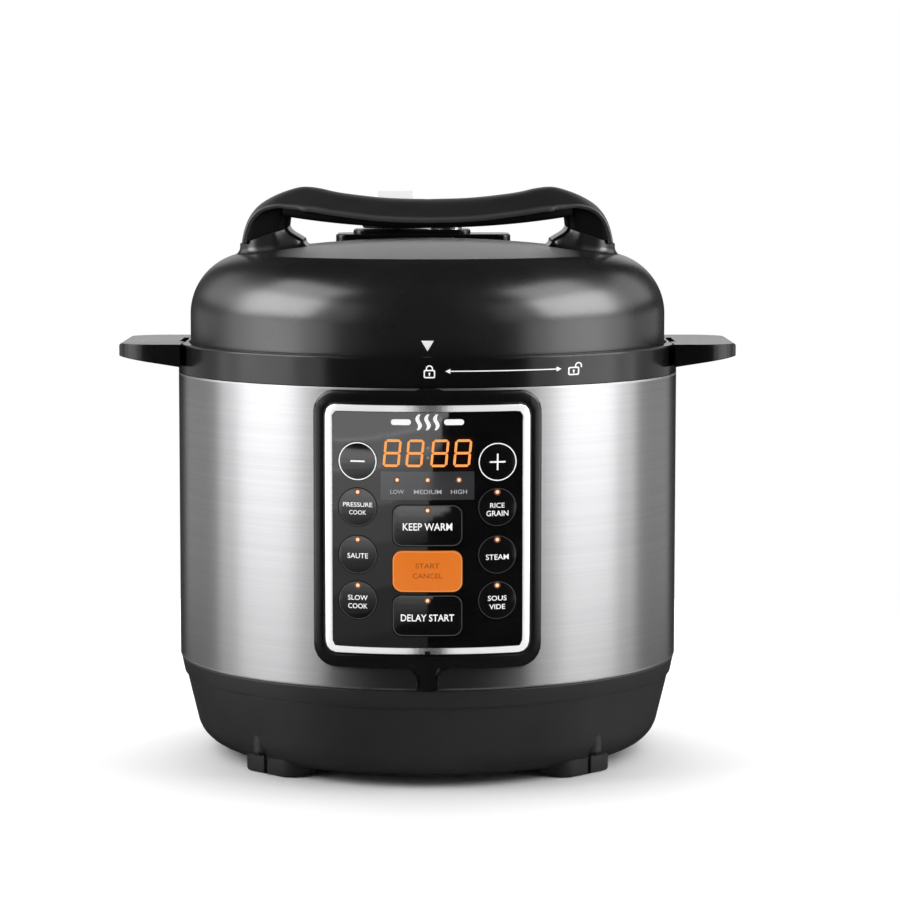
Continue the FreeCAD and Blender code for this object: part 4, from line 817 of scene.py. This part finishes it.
def panel_frame():
    """Bevelled black bezel with its two tabs, and the bright trim inside it."""
    bezel = rounded_path([
        (-60, 66.7, 11.5), (-8.5, 66.7, 1.0), (-6, 63.0, 2.0), (-6, 54.9, 0.3), (6, 54.9, 0.3),
        (6, 63.0, 2.0), (8.5, 66.7, 1.0), (60, 66.7, 11.5), (60, 213, 11.5), (6, 213, 0.4),
        (6, 214.05, 0.1), (-6, 214.05, 0.1),
        (-6, 213, 0.4), (-60, 213, 11.5)], 8)
    opening = rounded_box(-53.8, 53.8, 74.4, 205.8, 6.0)
    curved_frame("bezel_skin", bezel, opening, BODY_R - 0.3, PANEL_R, 1.6, BLACK, "panel_bezel")
    inside = rounded_box(-49.8, 49.8, 78.4, 201.8, 2.5)
    curved_frame("trim_skin", opening, inside, BODY_R + 0.3, TRIM_R, 0.5, TRIM, "panel_trim")
    patch("trim_notch", rounded_box(-1.4, 1.4, 74.5, 76.4, 0.3, 2), TRIM_R, BLACK, "base")


# keys: place across (the wide ones are in the middle), height, and label lines:
# text, height above the key's middle, width, cap height
KEYS = {
    "minus": (-36.5, 176.0), "plus": (36.6, 175.6),
    "pressure_cook": (-36.5, 151.9, ("PRESSURE", 1.3, 15.4, 2.3), ("COOK", -2.8, 9.0, 2.3)),
    "saute": (-36.5, 126.9, ("SAUTE", -0.6, 10.8, 2.7)),
    "slow_cook": (-36.5, 102.8, ("SLOW", 1.4, 10.4, 2.6), ("COOK", -3.0, 10.2, 2.6)),
    "rice_grain": (36.5, 151.9, ("RICE", 0.9, 7.6, 2.6), ("GRAIN", -3.3, 11.6, 2.9)),
    "steam": (36.5, 126.9, ("STEAM", -1.3, 12.0, 2.8)),
    "sous_vide": (36.5, 102.8, ("SOUS", 1.1, 9.9, 2.6), ("VIDE", -3.4, 8.3, 2.6)),
    "keep_warm": (0.0, 142.6, ("KEEP WARM", -0.6, 25.8, 3.9)),
    "start_cancel": (0.0, 118.5, ("START", 3.0, 12.6, 2.6), ("CANCEL", -2.3, 15.6, 2.6)),
    "delay_start": (0.0, 95.2, ("DELAY START", -1.1, 27.9, 3.7)),
}
INK_LIFT = 0.05


def circle(across, up, radius, steps=48):
    """A closed circle, counter-clockwise."""
    return arc_points((across, up), radius, 0, 360, steps)[:-1]


def patch(name, outline, radius, material=None, body="base", lift=INK_LIFT):
    """A thin flat mark, sunk in a wall of the given radius and standing a little proud of it."""
    loops = [[(x, depth, z) for x, z in outline] for depth in (radius - 0.1, radius + lift)]
    curved_piece(name, loops, material or WHITE_INK_PAINTED_GLOW, body=body)


def ring_mark(name, outer, inner, radius, material=None, body="base", lift=INK_LIFT):
    """A thin closed line between two outlines with the same number of points."""
    loops = [[(x, depth, z) for x, z in points] for points, depth in (
        (outer, radius - 0.1), (outer, radius + lift), (inner, radius + lift), (inner, radius - 0.1))]
    curved_piece(name, loops, material or WHITE_INK_PAINTED_GLOW, body=body, ring=True)


def bar(start, end, width):
    """Outline of a straight stroke between two points."""
    one, two = Vector(start), Vector(end)
    along = (two - one).normalized()
    side = Vector((-along.y, along.x)) * width / 2
    return [tuple(point) for point in (one - side, two - side, two + side, one + side)]


def lettering(name, text, across, up, wide, tall, material, body, radius=KEY_R, bold=0.006):
    """A line of thick print fitted to a width and a cap height, bent round the axis."""
    curve = bpy.data.curves.new(name, "FONT")
    curve.body = text
    curve.resolution_u = 3
    curve.offset = bold
    curve.extrude = 0.01
    holder = shown(name + "_line", curve)
    bpy.context.view_layer.update()
    mesh = bpy.data.meshes.new_from_object(holder)
    bpy.data.objects.remove(holder)
    bpy.data.curves.remove(curve)
    work = bmesh.new()
    work.from_mesh(mesh)
    left, right = (pick(vertex.co.x for vertex in work.verts) for pick in (min, max))
    low, high = (pick(vertex.co.y for vertex in work.verts) for pick in (min, max))
    for vertex in work.verts:
        x, y, z = vertex.co
        vertex.co = (across + ((x - left) / (right - left) - 0.5) * wide,
                     radius + (INK_LIFT if z > 0 else -0.1),
                     up + ((y - low) / (high - low) - 0.5) * tall)
    wrap(work)
    work.to_mesh(mesh)
    work.free()
    dress(name, mesh, material, body=body)


def lamp_dot(name, across, up, body, radius):
    """An indicator light with the faint glow round it."""
    ring_mark(name + "_glow", circle(across, up, 1.75), circle(across, up, 0.9), radius, GLOW, body, 0.03)
    patch(name, circle(across, up, 0.95), radius, LED, body)


def keys():
    """Eleven keys with rounded edges, faint outlines, labels and indicator lights."""
    for key, (across, up, *labels) in KEYS.items():
        body, wide_key, orange = BODY[key + "_key"], across == 0.0, key == "start_cancel"
        if not wide_key:
            face, rim = (circle(across, up, radius, 72) for radius in (10.0, 9.65))
        else:
            sides = (across - 18.2, across + 18.2, up - 10.7, up + 10.7)
            face = resample(rounded_box(*sides, 5.0), 144)
            inner = (number + shift for number, shift in zip(sides, (0.5, -0.5, 0.5, -0.5)))
            rim = resample(rounded_box(*inner, 4.5), 144)
        loops = [[(x, 139.4, z) for x, z in face]]
        loops += [[(x, KEY_R + level, z) for x, z in ring] for ring, level in rolled(face, 0.35)]
        # the orange key face emits light, a painted glow
        curved_piece(key + "_cap", loops, ORANGE if orange else KEY, key + "_key", strip=3.0, sharp=40)
        if key in ("minus", "plus"):
            sign_width = 7.4 if key == "minus" else 8.2
            patch(key + "_across", bar((across - sign_width / 2, up), (across + sign_width / 2, up), 0.85),
                  KEY_R, WHITE_INK_PAINTED_GLOW, body)
            if key == "plus":
                for word, end in (("low", -4.3), ("high", 0.42)):
                    patch("plus_upright_" + word,
                          bar((across, up + end), (across, up + end + 3.88), 0.85), KEY_R, WHITE_INK_PAINTED_GLOW, body)
            ring_mark(key + "_ring", circle(across, up, 9.95, 72), circle(across, up, 9.4, 72), KEY_R,
                      WHITE_INK_PAINTED_GLOW, body)
            continue
        # the key outlines, and the orange key's edge ring, emit light: a painted glow
        edging = ORANGE_EDGE if orange else OUTLINE_PAINTED_GLOW
        ring_mark(key + "_outline", inset(face, 0.1), rim, KEY_R, edging, body)
        # the label inks emit light, a painted glow
        painted_glow_ink = DARK_ORANGE_INK_PAINTED_GLOW if orange else WHITE_INK_PAINTED_GLOW
        for index, (text, above, wide, tall) in enumerate(labels):
            lettering(f"{key}_label_{index + 1}", text, across, up + above, wide, tall, painted_glow_ink, body,
                      bold=0.012 if tall > 3.5 else 0.006)
        if not orange:
            lamp_dot(key + "_light", across, up + (8.0 if wide_key else 7.9), body, KEY_R)


def seven_segments(across, up, wide, tall, stroke):
    """Outlines of the seven bars of one slanted figure eight."""
    half, quarter, gap, lean = wide / 2 - stroke / 2, tall / 2 - stroke / 2, 0.12, 0.095

    def segment(start, end):
        one, two = Vector(start), Vector(end)
        along = (two - one).normalized()
        one, two = one + along * gap, two - along * gap
        side = Vector((-along.y, along.x)) * stroke / 2
        tip = along * stroke / 2
        points = (one, one + tip - side, two - tip - side, two, two - tip + side, one + tip + side)
        return [(across + x + y * lean, up + y) for x, y in points]

    ends = ((-half, -quarter), (half, -quarter), (-half, 0), (half, 0), (-half, quarter), (half, quarter))
    pairs = ((0, 1), (2, 3), (4, 5), (0, 2), (1, 3), (2, 4), (3, 5))
    return [segment(ends[one], ends[two]) for one, two in pairs]


def display():
    """Window with its orange figures, and the grey strip with three levels under it."""
    patch("display_window", rounded_box(-24.0, 24.4, 171.0, 189.5, 0.4, 2), PANEL_R, WINDOW, "base", 0.03)
    patch("display_strip", rounded_box(-24.4, 24.4, 156.1, 170.9, 0.4, 2), PANEL_R, STRIP, "base", 0.03)
    for place, across in enumerate((-18.4, -6.5, 6.4, 18.3)):
        for index, outline in enumerate(seven_segments(across, 180.5, 8.9, 14.4, 1.3)):
            patch(f"figure_{place + 1}_bar_{index + 1}", outline, PANEL_R, DIGIT, "base", 0.09)
    for word, up in (("low", 178.2), ("high", 183.2)):
        patch(f"colon_{word}", circle(0.2, up, 0.8, 20), PANEL_R, COLON, "base", 0.09)
    for text, across, wide in (("LOW", -15.8, 7.0), ("MEDIUM", 0.1, 14.4), ("HIGH", 16.4, 8.4)):
        lettering(text.lower() + "_level", text, across, 160.3, wide, 2.2, GREY_INK_PAINTED_GLOW, "base", PANEL_R + 0.03)
        lamp_dot(text.lower() + "_light", across, 166.5, "base", PANEL_R + 0.03)


def wave(across, low, high, width):
    """Outline of an upright wavy stroke."""
    left, right = [], []
    for step in range(17):
        share = step / 16
        middle = across + 0.9 * math.sin(share * 2 * math.pi) + share * 0.8
        half = width / 2 * (1 - 0.45 * abs(2 * share - 1) ** 2)
        left.append((middle - half, low + (high - low) * share))
        right.append((middle + half, low + (high - low) * share))
    return left[::-1] + right


def emblem():
    """A plain sign of rising steam between two dashes, in place of any name."""
    for index, across in enumerate((-4.6, 0.0, 4.6)):
        patch(f"steam_wave_{index + 1}", wave(across - 0.4, 192.6, 200.8, 2.2), PANEL_R)
    for word, side in (("left", -1), ("right", 1)):
        ends = sorted((side * 8.6, side * 19.0))
        patch(word + "_dash", rounded_box(*ends, 195.2, 198.2, 1.4, 4), PANEL_R)


def lock_sign(name, across, up, opened):
    """Outline padlock; its bow is closed or swung clear."""
    steps = 48
    outer = resample(rounded_box(across - 3.0, across + 3.0, up - 3.4, up + 1.0, 0.9), steps)
    inner = resample(rounded_box(across - 2.3, across + 2.3, up - 2.7, up + 0.3, 0.4), steps)
    ring_mark(name + "_case", outer, inner, RING_R)
    shift = 2.6 if opened else 0.0
    centre = (across + shift, up + 1.5)
    foot = 0.6
    bow = []
    for radius, start in ((1.9, 0), (1.25, 180)):
        turned = arc_points(centre, radius, start, 180 - start, 16)
        bow += [(turned[0][0], up + foot), *turned, (turned[-1][0], up + foot)]
    patch(name + "_bow", bow, RING_R)
    patch(name + "_keyhole", circle(across, up - 1.0, 0.55, 16), RING_R)
    patch(name + "_keyway", bar((across, up - 2.3), (across, up - 1.4), 0.5), RING_R)


def closing_signs():
    """Lid pointer, and the padlocks and double arrow on the ring for closing and opening."""
    patch("lid_pointer", [(-3.3, 238.5), (0.0, 233.0), (3.3, 238.5)], LID_R, WHITE_INK_PAINTED_GLOW, "lid")
    lock_sign("closed_lock", RING_R * math.sin(math.radians(0.4)), 222.8, False)
    lock_sign("open_lock", RING_R * math.sin(math.radians(33.4)), 222.8, True)
    first, last = (RING_R * math.sin(math.radians(angle)) for angle in (3.8, 30.2))
    patch("turn_line", bar((first + 1.5, 223.0), (last - 1.5, 223.0), 0.55), RING_R)
    for word, tip, way in (("left", first, 1), ("right", last, -1)):
        head = [(tip, 223.0), (tip + way * 2.6, 221.7), (tip + way * 2.6, 224.3)]
        patch(f"turn_arrow_{word}", head if way > 0 else head[::-1], RING_R)


# ---- room, light and camera
def room():
    """Pale floor, and a world that is white to the eye and dim to the light."""
    work = bmesh.new()
    bmesh.ops.create_circle(work, cap_ends=True, radius=0.6, segments=128)
    floor = shown("floor", unpack(work, "floor"))
    floor.data.materials.append(Shader("pale_floor", (0.93, 0.93, 0.93), 0.75).material)
    floor.visible_glossy = False
    world = bpy.data.worlds.new("studio")
    bpy.context.scene.world = world
    world.use_nodes = True
    tree = world.node_tree
    tree.nodes.clear()
    out, mix, path = (tree.nodes.new("ShaderNode" + kind)
                      for kind in ("OutputWorld", "MixShader", "LightPath"))
    tree.links.new(path.outputs["Is Camera Ray"], mix.inputs["Fac"])
    for socket, strength in ((1, 0.02), (2, 1.0)):
        shade = tree.nodes.new("ShaderNodeBackground")
        shade.inputs["Color"].default_value = (1, 1, 1, 1)
        shade.inputs["Strength"].default_value = strength
        tree.links.new(shade.outputs[0], mix.inputs[socket])
    tree.links.new(mix.outputs[0], out.inputs["Surface"])
    return floor


def only_on(lamp, things):
    """Let a light fall on some objects only."""
    group = bpy.data.collections.new(lamp.name + "_receivers")
    for thing in things:
        group.objects.link(thing)
    lamp.light_linking.receiver_collection = group


def area_light(name, place, facing, width, tall, radiance):
    """A rectangular light of a given brightness, facing a direction."""
    data = bpy.data.lights.new(name, "AREA")
    data.shape, data.size, data.size_y = "RECTANGLE", width, tall
    data.energy = radiance * math.pi * width * tall
    lamp = shown(name, data)
    lamp.location = place
    lamp.rotation_euler = facing.to_track_quat("-Z", "Y").to_euler()
    lamp.visible_camera = False
    return lamp


def softbox(name, azimuth, rise, distance, width, tall, radiance, aim=0.17):
    """A light aimed at the cooker's axis, at an azimuth from the front and a rise in degrees."""
    turn, up = math.radians(azimuth), math.radians(rise)
    away = Vector((math.sin(turn) * math.cos(up), -math.cos(turn) * math.cos(up), math.sin(up)))
    return area_light(name, Vector((0, 0, aim)) + away * distance, -away, width, tall, radiance)


def strip(name, first, last, low, high, radiance, distance=0.6):
    """An upright light between two azimuths and two heights, facing the cooker."""
    one, two = (Vector((distance * math.sin(turn), -distance * math.cos(turn), 0.0))
                for turn in (math.radians(first), math.radians(last)))
    along = two - one
    place = (one + two) / 2 + Vector((0, 0, (low + high) / 2))
    return area_light(name, place, Vector((-along.y, along.x, 0.0)), along.length, high - low, radiance)


# lights on both sides: azimuth, rise, distance, width, height, radiance
SIDE_LIGHTS = {
    "light": (77, 24, 1.3, 1.02, 0.62, 5.4), "high_light": (77, 47, 1.35, 0.9, 0.45, 2.6),
    "low_light": (75, -3, 1.3, 0.72, 0.34, 1.1), "low_spread": (75, -3, 1.25, 1.45, 0.40, 1.15),
    "wing": (120, 24, 1.4, 0.95, 0.6, 0.8), "low_wing": (122, -4, 1.4, 1.1, 0.45, 0.36),
    "front_wing": (43, 20, 1.4, 0.5, 0.7, 0.5)}
# glow of the panel's left half, from the bottom up: height, right edge in degrees, radiance
PANEL_STRIPS = ((0.000, 0.0, 0.30), (0.030, 0.0, 0.45), (0.060, 0.0, 0.75), (0.090, 0.5, 1.15),
                (0.115, 2.0, 1.75), (0.140, 5.5, 2.5), (0.160, 8.0, 3.0))
PANEL_GLOW_TOP = 0.190


def lights(floor):
    """Tall side lights, one behind, one for the floor, and strips that show only in panel and trim."""
    for word, side in (("left", -1), ("right", 1)):
        for name, (azimuth, *rest) in SIDE_LIGHTS.items():
            softbox(f"{word}_{name}", side * azimuth, *rest)
    softbox("back_light", 180, 13, 2.2, 1.3, 0.62, 0.9)
    only_on(softbox("floor_light", 180, 58, 1.8, 3.2, 2.0, 2.3), [floor])
    meshes = [thing for thing in bpy.data.objects if thing.type == "MESH" and thing.data.materials]

    def dressed_in(*materials):
        return [thing for thing in meshes if thing.data.materials[0] in materials]

    panel = dressed_in(LENS, KEY, WINDOW, STRIP, OUTLINE_PAINTED_GLOW)
    tops = [low for low, _, _ in PANEL_STRIPS[1:]] + [PANEL_GLOW_TOP]
    for index, ((low, edge, radiance), high) in enumerate(zip(PANEL_STRIPS, tops)):
        only_on(strip(f"panel_glow_{index + 1}", -84, edge, low, high, radiance), panel)
    for word, first, last in (("left", -66, -5), ("right", 7, 66)):
        only_on(strip(f"trim_glow_{word}", first, last, -0.1, 0.36, 1.0), dressed_in(TRIM))


def camera():
    """A long lens in front of the cooker, a little above it."""
    bpy.context.scene.view_settings.view_transform = "Standard"
    data = bpy.data.cameras.new("camera")
    data.sensor_width, data.lens, data.shift_x, data.clip_start = 36.0, 124.0, 0.025, 0.05
    eye = shown("camera", data)
    eye.location = (0.0, -1.747, 0.3384)
    eye.rotation_euler = (math.radians(90 - 5.56), 0, 0)
    bpy.context.scene.camera = eye


studio_floor = room()
camera()
dress_nodes()
steel_sleeve()
base_band()
feet()
lid_cover()
lid_handle()
valve_group()
panel_frame()
keys()
display()
emblem()
closing_signs()
lights(studio_floor)

bpy.context.view_layer.update()
